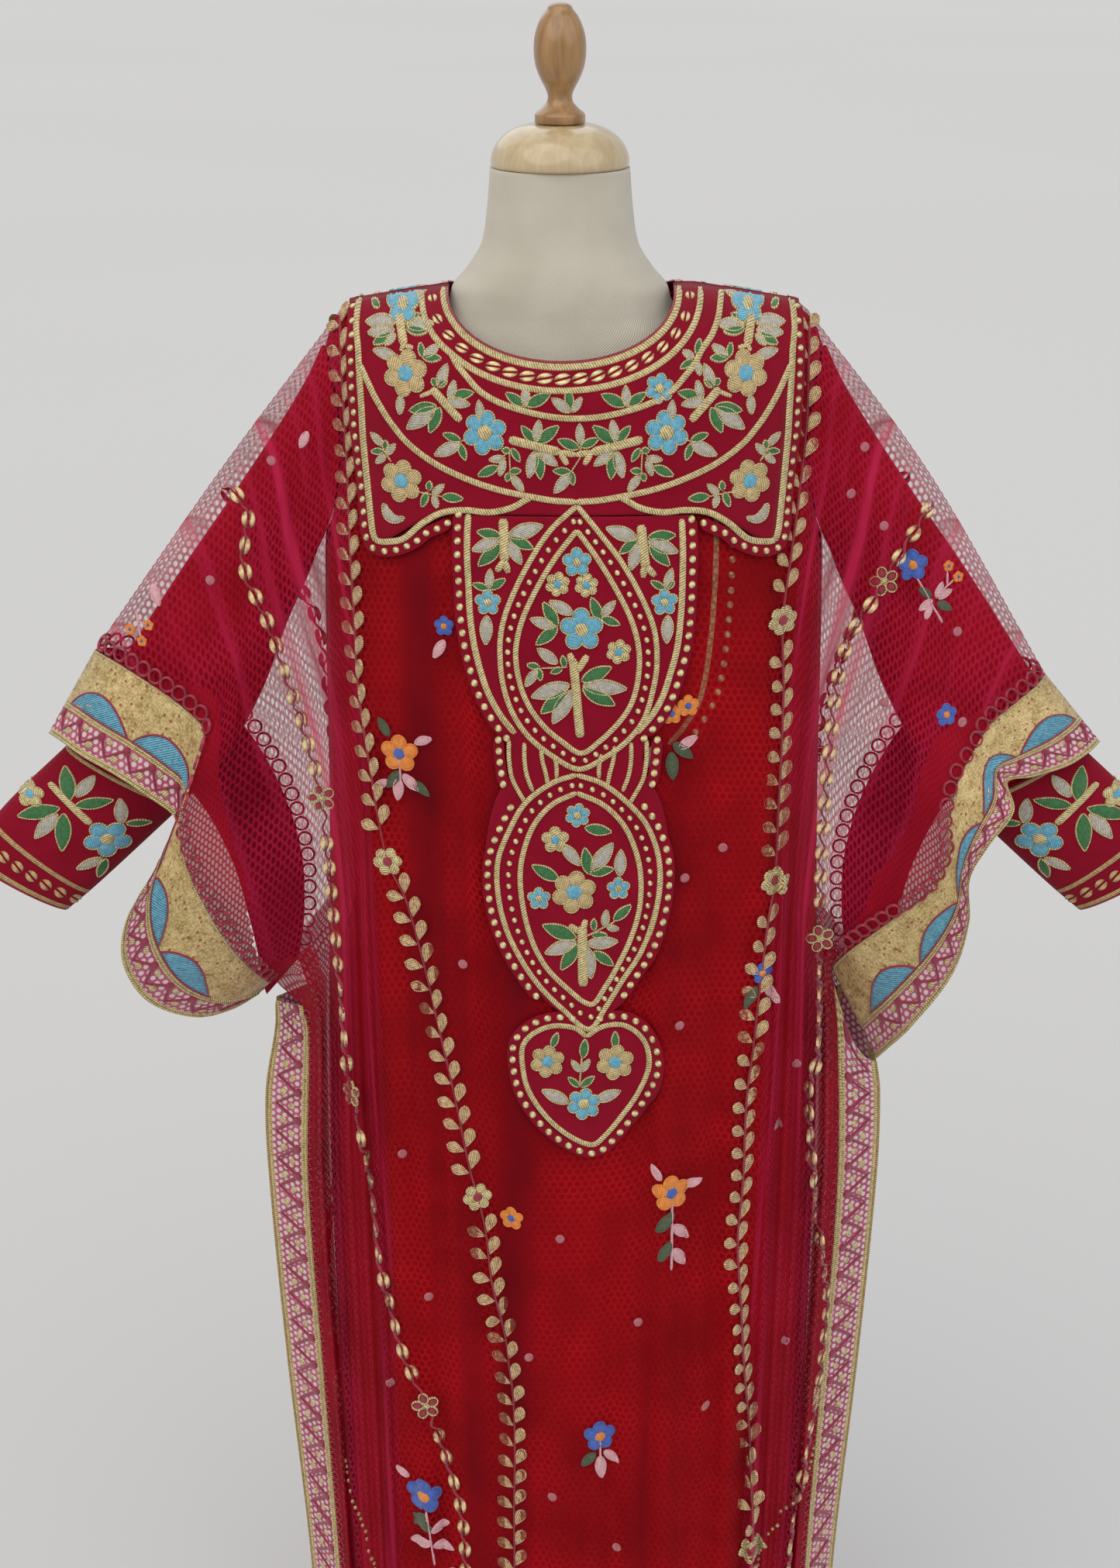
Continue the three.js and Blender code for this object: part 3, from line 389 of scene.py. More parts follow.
# the same for the net beyond the leaf seam, by cloth distance u from the centre and v down
SIDE_CREASES = {-1: table(
    (232, 40, 262, 420, 12, 4), (270, 30, 330, 330, 14, -4), (300, 60, 400, 300, 13, 5),
    (350, 30, 470, 230, 14, -4), (400, 40, 520, 180, 12, 4), (440, 150, 520, 330, 13, 4),
    (250, 420, 256, 1400, 10, 4), (270, 460, 282, 1300, 11, -4), (318, 440, 322, 1420, 11, 5),
    (370, 470, 360, 1380, 11, -4), (395, 500, 402, 1400, 12, 5), (450, 480, 452, 1420, 11, -4),
    (505, 520, 500, 1400, 12, 4)), 1: table(
    (240, 60, 260, 460, 14, 4), (290, 40, 330, 400, 14, -4), (350, 60, 410, 380, 13, 5),
    (410, 60, 470, 300, 13, -4), (470, 80, 520, 260, 12, 4), (255, 440, 262, 1400, 12, 4),
    (320, 470, 314, 1400, 12, -4), (380, 440, 388, 1420, 13, 5), (440, 480, 436, 1400, 12, -4),
    (500, 500, 505, 1380, 12, 4))}
# and for the robe's sleeves: share of the way down, turns round from the top, then the same
# at the other end, half width in both, depth
SLEEVE_CREASES = table(
    (0.14, 0.22, 0.30, 0.44, 0.05, 4), (0.20, 0.38, 0.44, 0.20, 0.05, -4),
    (0.34, 0.10, 0.50, 0.34, 0.05, 4), (0.46, 0.42, 0.62, 0.16, 0.045, 4),
    (0.56, 0.46, 0.74, 0.26, 0.045, -4), (0.66, 0.12, 0.82, 0.34, 0.045, 4),
    (0.78, 0.42, 0.90, 0.22, 0.04, 3), (0.18, 0.64, 0.36, 0.84, 0.05, 4),
    (0.36, 0.82, 0.56, 0.62, 0.05, 4), (0.58, 0.66, 0.76, 0.86, 0.05, -4),
    (0.74, 0.82, 0.88, 0.66, 0.045, 4))


def creases_out(creases, p, q, end=40.0):
    """How far the listed creases lift the cloth at p, q; each fades out at its ends."""
    out = 0.0
    for p0, q0, p1, q1, wide, deep in creases:
        run = np.array([p1 - p0, q1 - q0])
        length = np.hypot(*run)
        t = ((p - p0) * run[0] + (q - q0) * run[1]) / length
        off = ((p - p0) * run[1] - (q - q0) * run[0]) / length
        fade = smooth(t / end) * smooth((length - t) / end)
        out = out + deep * fade * bell(off / (wide * (0.85 + 0.3 * np.clip(t / length, 0, 1))))
    return out


# ------------------------------------ surfaces
def along(rows, t):
    """A smooth curve through a table's rows at each value t of its first column."""
    if rows[0, 0] > rows[-1, 0]:
        rows = rows[::-1]
    key, val = rows[:, 0], rows[:, 1:]
    t = np.asarray(t, float)
    i = np.clip(np.searchsorted(key, t, side="right") - 1, 0, len(key) - 2)
    at = np.arange(len(key))
    lo, hi = np.maximum(at - 1, 0), np.minimum(at + 1, len(key) - 1)
    slopes = (val[hi] - val[lo]) / (key[hi] - key[lo])[:, None]
    span = (key[i + 1] - key[i])[..., None]
    f = np.clip((t - key[i]) / (key[i + 1] - key[i]), 0, 1)[..., None]
    return eased(f, val[i], val[i + 1], slopes[i] * span, slopes[i + 1] * span)


def eased(f, start, end, start_slope, end_slope):
    """Part f of the way from start to end, leaving and arriving at the slopes given."""
    return ((1 + 2 * f) * (1 - f) ** 2 * start + f * (1 - f) ** 2 * start_slope
            + f * f * (3 - 2 * f) * end + f * f * (f - 1) * end_slope)


def turns(count):
    """Even turns round a circle, in radians."""
    return np.linspace(0, 2 * np.pi, count + 1)[:-1]


def smooth(t):
    """From 0 to 1 with level ends."""
    t = np.clip(t, 0, 1)
    return t * t * (3 - 2 * t)


def bell(t):
    """A rounded ridge, 1 in its middle and 0 from 1 away."""
    return np.where(np.abs(t) < 1, np.cos(np.clip(t, -1, 1) * np.pi / 2) ** 2, 0)


def ridge_z(x, ease):
    """The height of the shoulders' ridge."""
    return (RIDGE_Z + ease - RIDGE_FALL * np.maximum(np.abs(x) - RIDGE_X, 0)
            - TIP_FALL * np.maximum(np.abs(x) - TIP_X, 0) ** 2)


def reach(x, z, ease, side):
    """How far front or back a smooth cloth lies that is ease outside the robe."""
    body = along(BODY, z)
    half = body[..., 0] + ease
    round_ = np.sqrt(1 - np.minimum(np.abs(x) / half, 1) ** BODY_CORNER)
    down = np.clip((ridge_z(x, ease) - z) / (FRONT_ROUND if side < 0 else BACK_ROUND), 0, 1)
    return (body[..., 1 if side < 0 else 2] + ease) * round_ * np.sqrt(1 - (1 - down) ** 2)


def folds_out(folds, x, z, side):
    """How far long folds lift the cloth."""
    return sum(deep * smooth((top - z) / 420) * bell((side * x + at) / wide)
               for at, wide, deep, top in folds)


def body_folds(x, z, side):
    """The folds and creases that robe and net share."""
    return folds_out(ROBE_FOLDS, x, z, side) + creases_out(CREASES[side], x, z)


def robe_out(x, z, side):
    return reach(x, z, 0, side) + body_folds(x, z, side)


def net_out(x, z, side):
    edge = smooth((190 - np.abs(x)) / 40)
    return reach(x, z, NET_EASE, side) + np.maximum(
        folds_out(ROBE_FOLDS, x, z, side), folds_out(NET_FOLDS, x, z, side) * edge
    ) + creases_out(CREASES[side], x, z)


def top_edge(x, ease, side, hidden):
    """The neckline and the ridge of the shoulders beside it."""
    drop = (NECK_FRONT if side < 0 else NECK_BACK) + hidden
    across = np.clip(np.abs((x - NECK_X) / (NECK_HALF + hidden)), 0, 1)
    return ridge_z(x, ease) - drop * np.sqrt(1 - across ** 2)


def robe_edge(z):
    """The robe's half width, cut in round its armhole."""
    across = (z - (ARM_TOP + ARM_LOW) / 2) / ((ARM_TOP - ARM_LOW) / 2)
    return along(BODY, z)[..., 0] * (1 - ARM_CUT * np.sqrt(np.maximum(1 - across ** 2, 0)))


def border_rail(which, v, hand, side):
    """An edge of a sleeve border."""
    front = BORDER[which, hand]
    if side < 0:
        return along(front, v)
    back = BORDER[which, 0]
    p = along(back, v)
    shift = smooth(1 - np.asarray(v) / RIDGE_FADE)
    p[..., 0] += (front[0, 1] - back[0, 1]) * shift
    p[..., 2] += (front[0, 3] - back[0, 3]) * shift
    return p


def band_rail(which, v, hand, side):
    """An edge of a side band."""
    start = (BAND_SLANTED if side < 0 and hand > 0 else BAND_START)[which]
    rows = BAND[which]
    rows = np.vstack([[start], rows[rows[:, 0] > start[0]]])
    p = along(rows, v)
    if side > 0:
        p[..., 1] *= -0.75
    return p


def disc_rail(v, side):
    p = along(DISC_LINE, v)
    if side > 0:
        p[..., 1] *= -0.86
    return p


def leaf_seam(v, side):
    p = along(LEAF_SEAM, v)
    x, z = p[..., 0], p[..., 1]
    return np.stack([x, side * net_out(x, z, side), z], -1)


def net_side(u, v, hand, side):
    """The net at cloth distance u from the centre and v down from the shoulder."""
    u, v = np.broadcast_arrays(np.asarray(u, float), np.asarray(v, float))
    sleeve = (v <= SLEEVE_END)[..., None]
    inner = np.where(sleeve, border_rail("inner", np.minimum(v, SLEEVE_END), hand, side),
                     band_rail("inner", np.maximum(v, BAND_TOP), hand, side))
    a, b, c = leaf_seam(v, side), disc_rail(v, side), inner
    ab, bc, ac = U_DISC - U_LEAF, U_BORDER - U_DISC, U_BORDER - U_LEAF
    m0, m1, m2 = (b - a) / ab, (c - a) / ac, (c - b) / bc
    first = (u <= U_DISC)[..., None]
    f = np.where(u <= U_DISC, (u - U_LEAF) / ab, (u - U_DISC) / bc)[..., None]
    p, q = np.where(first, a, b), np.where(first, b, c)
    mp, mq = np.where(first, m0 * ab, m1 * bc), np.where(first, m1 * ab, m2 * bc)
    at = eased(f, p, q, mp, mq)
    folds = sum(deep * smooth((v - top) / 260) * bell((u - fu) / wide)
                for fu, wide, deep, top in SIDE_FOLDS)
    folds = folds + creases_out(SIDE_CREASES[side], u, v)
    edge = smooth((u - U_LEAF) / 20) * smooth((U_BORDER - u) / 24)
    x, y, z = at[..., 0], at[..., 1], at[..., 2]
    least = reach(x, z, NET_EASE, side) + body_folds(hand * x, z, side)
    out = np.maximum(side * y, np.where(x < 222, least, 0)) + folds * edge
    return np.stack([hand * x + GARMENT_X, side * out, z], -1)


def trim_point(f, v, hand, side):
    """The trim beyond the net's edge, f of the way across it."""
    f, v = np.broadcast_arrays(np.asarray(f, float), np.asarray(v, float))
    sleeve = v <= SLEEVE_END
    slant = 0.0 if hand < 0 or side > 0 else np.where(
        sleeve, 0, SLANT_DROP * f * np.maximum(1 - (v - BAND_TOP) / SLANT_OVER, 0))
    rails = [np.where(sleeve[..., None],
                      border_rail(w, np.minimum(v, SLEEVE_END), hand, side),
                      band_rail(w, np.maximum(v, BAND_TOP) + slant, hand, side))
             for w in ("inner", "outer")]
    p = rails[0] + (rails[1] - rails[0]) * f[..., None]
    return np.stack([hand * p[..., 0] + GARMENT_X, p[..., 1], p[..., 2]], -1)


def yoke_out(x, z, side):
    return reach(x, z, YOKE_EASE, side)


def plastron_out(x, z):
    return net_out(x, z, -1) + YOKE_EASE - NET_EASE


# ------------------------------------ cloth
ROBE_THICK, TRIM_THICK, CUFF_THICK = 1.0, 1.4, 1.8
NECK_COLUMNS = np.sin(np.linspace(0, np.pi / 2, 15))
SHOULDER_COLUMNS = np.linspace(0, 1, 20)[1:]


def columns_at(share, half_width, hidden):
    """Where a panel's columns cross a row, closer together round the neckline."""
    sides = []
    for hand in (-1, 1):
        end = (NECK_HALF + hidden + hand * NECK_X) / half_width
        at = np.concatenate([NECK_COLUMNS * end, end + (1 - end) * SHOULDER_COLUMNS])
        even = np.linspace(0, 1, len(at))
        sides.append(hand * (at + (even - at) * smooth(share * 5)))
    return np.concatenate([sides[0][:0:-1], sides[1]])


def lengths(points, axis):
    """Distance along a grid of points, added up down the rows or across the columns."""
    step = np.linalg.norm(np.diff(points, axis=axis), axis=-1)
    start = np.zeros_like(np.take(step, [0], axis=axis))
    return np.cumsum(np.concatenate([start, step], axis=axis), axis=axis)


def new_piece(name, points, faces, materials=(), corner_uv=None, parts=None):
    """A smooth piece from points in millimetres. corner_uv is in millimetres too, a pair for
    each corner of each face, and parts says which material each face has."""
    mesh = bpy.data.meshes.new(name)
    mesh.from_pydata((np.asarray(points) / 1000).tolist(), [], faces)
    if corner_uv is not None:
        uv = np.asarray(corner_uv) / 1000
        mesh.uv_layers.new(name="cloth").data.foreach_set("uv", uv.ravel())
    for material in materials:
        mesh.materials.append(material)
    if parts is not None:
        mesh.polygons.foreach_set("material_index", np.asarray(parts, np.int32))
    mesh.shade_smooth()
    piece = bpy.data.objects.new(name, mesh)
    bpy.context.collection.objects.link(piece)
    return piece


def cloth_mesh(name, points, materials, flip, closed=False, uv=None, parts=None):
    """A grid of points in millimetres as one smooth sheet. Its UV map is the cloth's own
    width and length in metres, so that a weave keeps its scale over folds."""
    rows, columns = points.shape[:2]
    if uv is None:
        across, down = lengths(points, 1), lengths(points, 0)
        across = across - across[:, columns // 2:columns // 2 + 1]
        uv = np.stack([across, np.broadcast_to(down.mean(1)[:, None], across.shape)], -1)
    ids = np.arange(rows * columns).reshape(rows, columns)
    if closed:
        ids = np.concatenate([ids, ids[:, :1]], 1)
        uv = np.concatenate([uv, uv[:, -1:] + (uv[:, -1:] - uv[:, -2:-1])], 1)
    corners = [ids[:-1, :-1], ids[:-1, 1:], ids[1:, 1:], ids[1:, :-1]]
    cells = [(slice(0, -1), slice(0, -1)), (slice(0, -1), slice(1, None)),
             (slice(1, None), slice(1, None)), (slice(1, None), slice(0, -1))]
    if flip:
        corners, cells = corners[::-1], cells[::-1]
    faces = np.stack([c.ravel() for c in corners], -1)
    spread = np.stack([uv[c].reshape(-1, 2) for c in cells], 1).reshape(-1, 2)
    return new_piece(name, points.reshape(-1, 3), faces.tolist(), materials, spread,
                     None if parts is None else parts.ravel())


def thicken(piece, thickness_mm):
    """Gives a sheet its thickness, inwards from its outer face."""
    solid = piece.modifiers.new("thickness", "SOLIDIFY")
    solid.thickness, solid.offset = thickness_mm / 1000, -1


def named(kind, side, hand):
    return f"{kind}_{SIDES[side]}_{HANDS[hand]}"


def hang(piece, node):
    """Declares a cloth piece: it rides on the one body and stands for its solid."""
    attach(piece, "root")
    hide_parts(node)


def placed(x, y, z):
    """Points on the garment as points in the frame."""
    x, y, z = np.broadcast_arrays(x, y, z)
    return np.stack([x + GARMENT_X, y, z], -1)


SIDES = {-1: "front", 1: "back"}
HANDS = {-1: "left", 1: "right"}


def robe_panel(side):
    top_x = robe_edge(ARM_TOP)
    share = np.concatenate([np.linspace(0, 0.12, 36), np.linspace(0.12, 1, 90)[1:]])
    a = np.stack([columns_at(g, top_x, NECK_HIDE) for g in share])
    top = top_edge(a * top_x, 0, side, NECK_HIDE)
    z = top - share[:, None] * (top - HEM_Z)
    x = a * robe_edge(z)
    points = placed(x, side * robe_out(x, z, side), z)
    piece = cloth_mesh(f"robe_{SIDES[side]}_cloth", points, [ROBE], side < 0)
    thicken(piece, ROBE_THICK)
    hang(piece, f"robe_{SIDES[side]}")


def armhole_ring(hand, angle):
    z = (ARM_TOP + ARM_LOW) / 2 + np.cos(angle) * (ARM_TOP - ARM_LOW) / 2
    x = robe_edge(z)
    out = np.where(np.sin(angle) > 0, -reach(x, z, 0, -1), reach(x, z, 0, 1))
    return placed(hand * (x + ARM_GAP), out, z - 1)


def flat_ring(row, hand, angle):
    """A ring of a flat tube, from its top down its front and up its back."""
    top_x, top_z, low_x, low_z, deep = row
    f = (1 + np.cos(angle)) / 2
    return placed(hand * (low_x + (top_x - low_x) * f), -deep * np.sin(angle),
                  low_z + (top_z - low_z) * f)


def grid_normals(points, closed=False):
    """Unit normals of a grid, across x down."""
    down = np.gradient(points, axis=0)
    if closed:
        across = np.roll(points, -1, 1) - np.roll(points, 1, 1)
    else:
        across = np.gradient(points, axis=1)
    n = np.cross(across, down)
    return n / np.maximum(np.linalg.norm(n, axis=-1, keepdims=True), 1e-9)


def tube_points(rings, s):
    """A smooth tube through rings of points at keys 0, 1, 2 and so on."""
    keyed = np.array([[k, *r.ravel()] for k, r in rings])
    return along(keyed, s).reshape(len(s), -1, 3)


def robe_sleeve(hand):
    angle = turns(56)
    rings = [(0, armhole_ring(hand, angle))]
    rings += [(row[0], flat_ring(row[1:], hand, angle)) for row in SLEEVE]
    share = np.linspace(0, 1, 80)
    points = tube_points(rings, share * 5)
    turn = np.broadcast_to(angle / (2 * np.pi), points.shape[:2])
    down = np.broadcast_to(share[:, None], points.shape[:2])
    lift = creases_out(SLEEVE_CREASES, down, turn, end=0.05) * smooth((1 - down) / 0.1)
    normals = grid_normals(points, closed=True)
    normals *= np.sign((normals * (points - points.mean(1, keepdims=True))).sum())
    points = points + normals * (lift[..., None] - 1.2 * smooth(down / 0.1)[..., None])
    piece = cloth_mesh(f"robe_sleeve_{HANDS[hand]}_cloth", points, [ROBE], hand < 0, closed=True)
    thicken(piece, ROBE_THICK)
    hang(piece, f"robe_sleeve_{HANDS[hand]}")


def cuff_points(hand, s, angle):
    rings = [(row[0], flat_ring(row[1:], hand, angle)) for row in CUFF]
    return tube_points(rings, s)


def robe_cuff(hand):
    angle = turns(60)
    points = cuff_points(hand, np.linspace(0, 1, 26), angle)
    piece = cloth_mesh(f"robe_cuff_{HANDS[hand]}_cloth", points, [GROUND], hand < 0, closed=True)
    thicken(piece, CUFF_THICK)
    hang(piece, f"robe_cuff_{HANDS[hand]}")


def drop_share(v):
    return (LEAF_SEAM[0, 2] - along(LEAF_SEAM, v)[..., 1]) / (LEAF_SEAM[0, 2] - HEM_Z)


def net_centre(side):
    shoulder = LEAF_SEAM[0, 1]
    v = np.concatenate([np.linspace(0, 120, 34), np.linspace(120, HEM_V, 130)[1:]])
    share = drop_share(v)
    a = np.stack([columns_at(g, shoulder, NECK_HIDE) for g in share])
    top = top_edge(a * shoulder, NET_EASE, side, NECK_HIDE)
    z = top - share[:, None] * (top - HEM_Z)
    x = a * along(LEAF_SEAM, v)[:, :1]
    points = placed(x, side * net_out(x, z, side), z)
    piece = cloth_mesh(f"thobe_{SIDES[side]}_net", points, [NET], side < 0)
    hang(piece, f"thobe_{SIDES[side]}")


# how far in the net is gathered: distance down, mm in from its edge
GATHER = table((0, -5), (60, -5), (110, 30), (160, 58), (300, 56), (360, 30), (404, 18), (418, 50),
    (430, 120), (484, 120), (510, 105), (620, 110), (900, 110), (1430, 100))
GATHER_BACK = table((0, -5), (400, -5), (418, 40), (430, 110), (484, 110), (510, 100), (1430, 90))


def net_panel(hand, side):
    u = np.linspace(U_LEAF, U_BORDER, 74)
    v = np.concatenate([np.linspace(0, 470, 74), np.linspace(470, HEM_V, 96)[1:]])
    points = net_side(u[None, :], v[:, None], hand, side)
    name = named("thobe_side", side, hand)
    # towards its edge the net is gathered: wide on the sleeve's front, then beside the band
    down, edge = (v[:-1] + v[1:]) / 2, U_BORDER - (u[:-1] + u[1:]) / 2
    reach_in = along(GATHER if side < 0 else GATHER_BACK, down)[:, 0]
    piece = cloth_mesh(name + "_net", points, [SLEEVE_NET, GATHERED], hand * side < 0,
                       parts=(edge[None, :] < reach_in[:, None]).astype(int))
    hang(piece, name)


def trim(hand, side, kind):
    """A sleeve border or a side band: gold lace, with an openwork strip of net in it."""
    border = kind == "sleeve_border"
    v = (np.linspace(0, SLEEVE_END, 110) if border
         else np.linspace(BAND_TOP, HEM_V, 150))
    stops = [0, 0.62, 0.67, 0.93, 1] if border else [0, 0.16, 0.84, 1]
    made = [1, 1, 0, 1] if border else [1, 0, 1]
    f = np.concatenate([[0.0]] + [np.linspace(a, b, max(3, round((b - a) * 22)))[1:]
                                  for a, b in zip(stops, stops[1:])])
    lace = np.concatenate([[m] * (max(3, round((b - a) * 22)) - 1)
                           for m, a, b in zip(made, stops, stops[1:])])
    points = trim_point(f[None, :], v[:, None], hand, side)
    points[..., 1] += side * TRIM_LIFT
    width = BORDER_WIDE if border else BAND_WIDE
    s = lengths(trim_point(0.5, v[:, None], hand, side), 0)
    uv = np.stack(np.broadcast_arrays(s, f[None, :] * width), -1)
    name = named(kind, side, hand)
    piece = cloth_mesh(name + "_cloth", points, [STRIP, LACE, GROUND, GROUND],
                       hand * side < 0, uv=uv,
                       parts=np.broadcast_to(lace, (len(v) - 1, len(lace))))
    if border:
        thicken(piece, 0.5)
        piece.modifiers["thickness"].material_offset = 2    # its crimson wrong side
    hang(piece, name)


def yoke_points(side):
    ridge_half = YOKE_SIDE[-1, 1]
    hidden = 0 if side < 0 else NECK_HIDE
    r = np.concatenate([np.linspace(0, 0.35, 30), np.linspace(0.35, 1, 34)[1:]])
    a = np.stack([columns_at(g * 0.4, ridge_half, hidden) for g in r])
    top = top_edge(a * ridge_half, YOKE_EASE, side, hidden)
    low = along(YOKE_LOWER, np.abs(a))[..., 0] if side < 0 else YOKE_BACK_LOW
    z = top + (low - top) * r[:, None]
    x = a * along(YOKE_SIDE, z[:, -1])[:, :1]
    return placed(x, side * yoke_out(x, z, side), z)


def yoke(side):
    piece = cloth_mesh(f"yoke_{SIDES[side]}_cloth", yoke_points(side), [GROUND], side < 0)
    thicken(piece, TRIM_THICK)
    hang(piece, f"yoke_{SIDES[side]}")


def plastron():
    z = np.concatenate([np.linspace(PLASTRON[0, 0], 858, 110), np.linspace(858, 724, 60)[1:]])
    shape = along(PLASTRON, z)
    a = np.linspace(-1, 1, 41)
    x = shape[:, 1:2] + a * shape[:, :1]
    z = np.broadcast_to(z[:, None], x.shape)
    piece = cloth_mesh("plastron_cloth", placed(x, -plastron_out(x, z), z), [GROUND], True)
    thicken(piece, TRIM_THICK)
    hang(piece, "plastron")


for side in (-1, 1):
    robe_panel(side)
    net_centre(side)
    yoke(side)
    for hand in (-1, 1):
        net_panel(hand, side)
        trim(hand, side, "sleeve_border")
        trim(hand, side, "side_band")
for hand in (-1, 1):
    robe_sleeve(hand)
    robe_cuff(hand)
plastron()

# ------------------------------------ where the embroidery lies
# x, z on the garment, millimetres: the left half of the yoke, and the front piece. A leaf is
# its silk, base and tip, a stem its ends and width, a flower its kind, place, size and petals.
NECK_RING = [(-103, 1422), (-98, 1413), (-90, 1404), (-78, 1392), (-61, 1383), (-38, 1376),
    (-17, 1372), (1, 1371)]
NECK_RING_END = [(114, 1433), (120, 1445), (123, 1457), (125, 1464)]
EDGE = [(-182, 1457), (-183, 1444), (-183, 1433), (-181, 1419), (-180, 1404), (-178, 1373),
    (-177, 1349), (-175, 1325), (-173, 1305), (-171, 1286), (-169, 1271), (-166, 1265),
    (-157, 1265), (-143, 1269), (-127, 1283), (-110, 1293), (-91, 1296), (-70, 1295), (-52, 1299),
    (-41, 1305), (-35, 1308)]
SWEEP = [(-180, 1408), (-174, 1397), (-167, 1384), (-160, 1373), (-152, 1362), (-138, 1347),
    (-115, 1332), (-86, 1320), (-62, 1313), (-36, 1308), (-17, 1305), (1, 1304)]
BEADS = [(-189, 1451), (-189, 1443), (-189, 1436), (-189, 1429), (-190, 1422), (-190, 1415),
    (-189, 1404), (-189, 1391), (-188, 1379), (-187, 1365), (-187, 1353), (-185, 1341),
    (-184, 1329), (-182, 1316), (-181, 1304), (-180, 1294), (-179, 1282), (-178, 1270),
    (-174, 1260), (-166, 1257), (-156, 1258), (-145, 1262), (-133, 1269), (-125, 1276),
    (-114, 1281), (-106, 1286)]
YOKE_LEAVES = [("g", -164, 1450, -171, 1454), ("s", -137, 1459, -125, 1463),
    ("s", -149, 1441, -175, 1439), ("g", -143, 1440, -129, 1447), ("s", -140, 1438, -117, 1441),
    ("g", -140, 1436, -122, 1435), ("s", -150, 1435, -173, 1431), ("g", -152, 1433, -168, 1423),
    ("s", -149, 1432, -158, 1423), ("s", -148, 1415, -168, 1419), ("g", -126, 1416, -128, 1427),
    ("s", -125, 1416, -112, 1426), ("g", -126, 1416, -110, 1416), ("s", -144, 1386, -145, 1370),
    ("s", -113, 1394, -105, 1412), ("g", -115, 1395, -117, 1401), ("g", -113, 1394, -105, 1400),
    ("s", -103, 1384, -99, 1400), ("g", -102, 1387, -83, 1391), ("s", -106, 1384, -86, 1381),
    ("g", -114, 1379, -137, 1374), ("s", -115, 1378, -139, 1359), ("g", -111, 1378, -120, 1357),
    ("s", -77, 1368, -79, 1385), ("g", -94, 1352, -109, 1357), ("s", -94, 1350, -116, 1339),
    ("g", -95, 1350, -90, 1336), ("g", -33, 1352, -44, 1365), ("s", -32, 1352, -29, 1370),
    ("g", -31, 1351, -13, 1365), ("s", -32, 1345, -38, 1323), ("g", -30, 1344, -28, 1322),
    ("s", -30, 1345, -14, 1333), ("g", -53, 1345, -60, 1345), ("g", -52, 1347, -45, 1336),
    ("s", -57, 1339, -71, 1337), ("s", -58, 1338, -62, 1324), ("g", -63, 1332, -80, 1324),
    ("g", -54, 1327, -56, 1320), ("g", -54, 1328, -44, 1329), ("s", -52, 1325, -42, 1312),
    ("s", 5, 1350, 4, 1367), ("g", 4, 1347, -14, 1354), ("g", 5, 1348, 20, 1355),
    ("g", -3, 1328, -18, 1329), ("g", -3, 1329, -1, 1317), ("s", -3, 1327, -17, 1311),
    ("g", -41, 1381, -57, 1391), ("s", -41, 1380, -40, 1397), ("g", -40, 1381, -20, 1390),
    ("s", -3, 1376, -19, 1387), ("g", -3, 1378, -6, 1395), ("s", -2, 1376, 6, 1388),
    ("s", -159, 1343, -170, 1353), ("g", -158, 1341, -157, 1348), ("g", -159, 1339, -170, 1337),
    ("s", -157, 1336, -149, 1346), ("s", -157, 1336, -166, 1328), ("g", -121, 1310, -120, 1318),
    ("g", -122, 1309, -127, 1296), ("s", -118, 1307, -108, 1316), ("s", -117, 1307, -114, 1296),
    ("g", -110, 1306, -92, 1305)]
YOKE_STEMS = [(-147, 1448, -142, 1424, 6.2), (-118, 1393, -94, 1368, 5.6),
    (-54, 1354, -12, 1344, 5.9), (-142, 1424, -145, 1420, 3.9), (-142, 1424, -134, 1423, 3.9),
    (-12, 1344, 1, 1342, 4.3), (-12, 1344, -6, 1334, 4.3), (-116, 1391, -128, 1386, 3.9),
    (-145, 1466, -148, 1460, 4.9), (-153, 1331, -161, 1344, 1.5), (-135, 1309, -110, 1306, 1.5),
    (-54, 1347, -53, 1326, 1.5), (5, 1349, 5, 1340, 1.6), (5, 1340, -3, 1328, 1.6),
    (-55, 1344, -63, 1336, 1.3), (-94, 1351, -86, 1356, 1.5)]
YOKE_FLOWERS = [("b", -144, 1453, 14.4, 5), ("o", -140, 1403, 19.3, 6), ("b", -74, 1359, 19.3, 6),
    ("o", -144, 1316, 18.3, 6)]
CRESCENT = [(-160, 1296), (-160, 1288), (-157, 1283), (-151, 1281), (-143, 1284), (-142, 1287),
    (-149, 1287), (-154, 1291), (-157, 1296)]
FRAME_L = [(-88, 1293), (-89, 1276), (-89, 1255), (-88, 1231), (-87, 1209), (-84, 1186),
    (-79, 1164), (-72, 1143), (-61, 1123), (-50, 1109)]
FRAME_R = [(89, 1289), (90, 1268), (90, 1244), (89, 1212), (86, 1182), (81, 1162), (74, 1140),
    (65, 1124), (52, 1109)]
OVAL_1 = [(2, 1301), (-20, 1281), (-38, 1254), (-54, 1221), (-61, 1197), (-62, 1172), (-59, 1148),
    (-51, 1125), (-38, 1106), (-19, 1090), (4, 1078), (27, 1089), (45, 1103), (58, 1120),
    (65, 1142), (69, 1167), (67, 1196), (57, 1223), (39, 1255), (18, 1282), (2, 1301)]
OVAL_1_IN = [(2, 1281), (-17, 1257), (-33, 1230), (-44, 1205), (-49, 1180), (-46, 1154),
    (-38, 1133), (-25, 1115), (-10, 1102), (6, 1092), (22, 1103), (36, 1117), (47, 1133),
    (53, 1154), (54, 1180), (48, 1205), (36, 1230), (19, 1258), (2, 1281)]
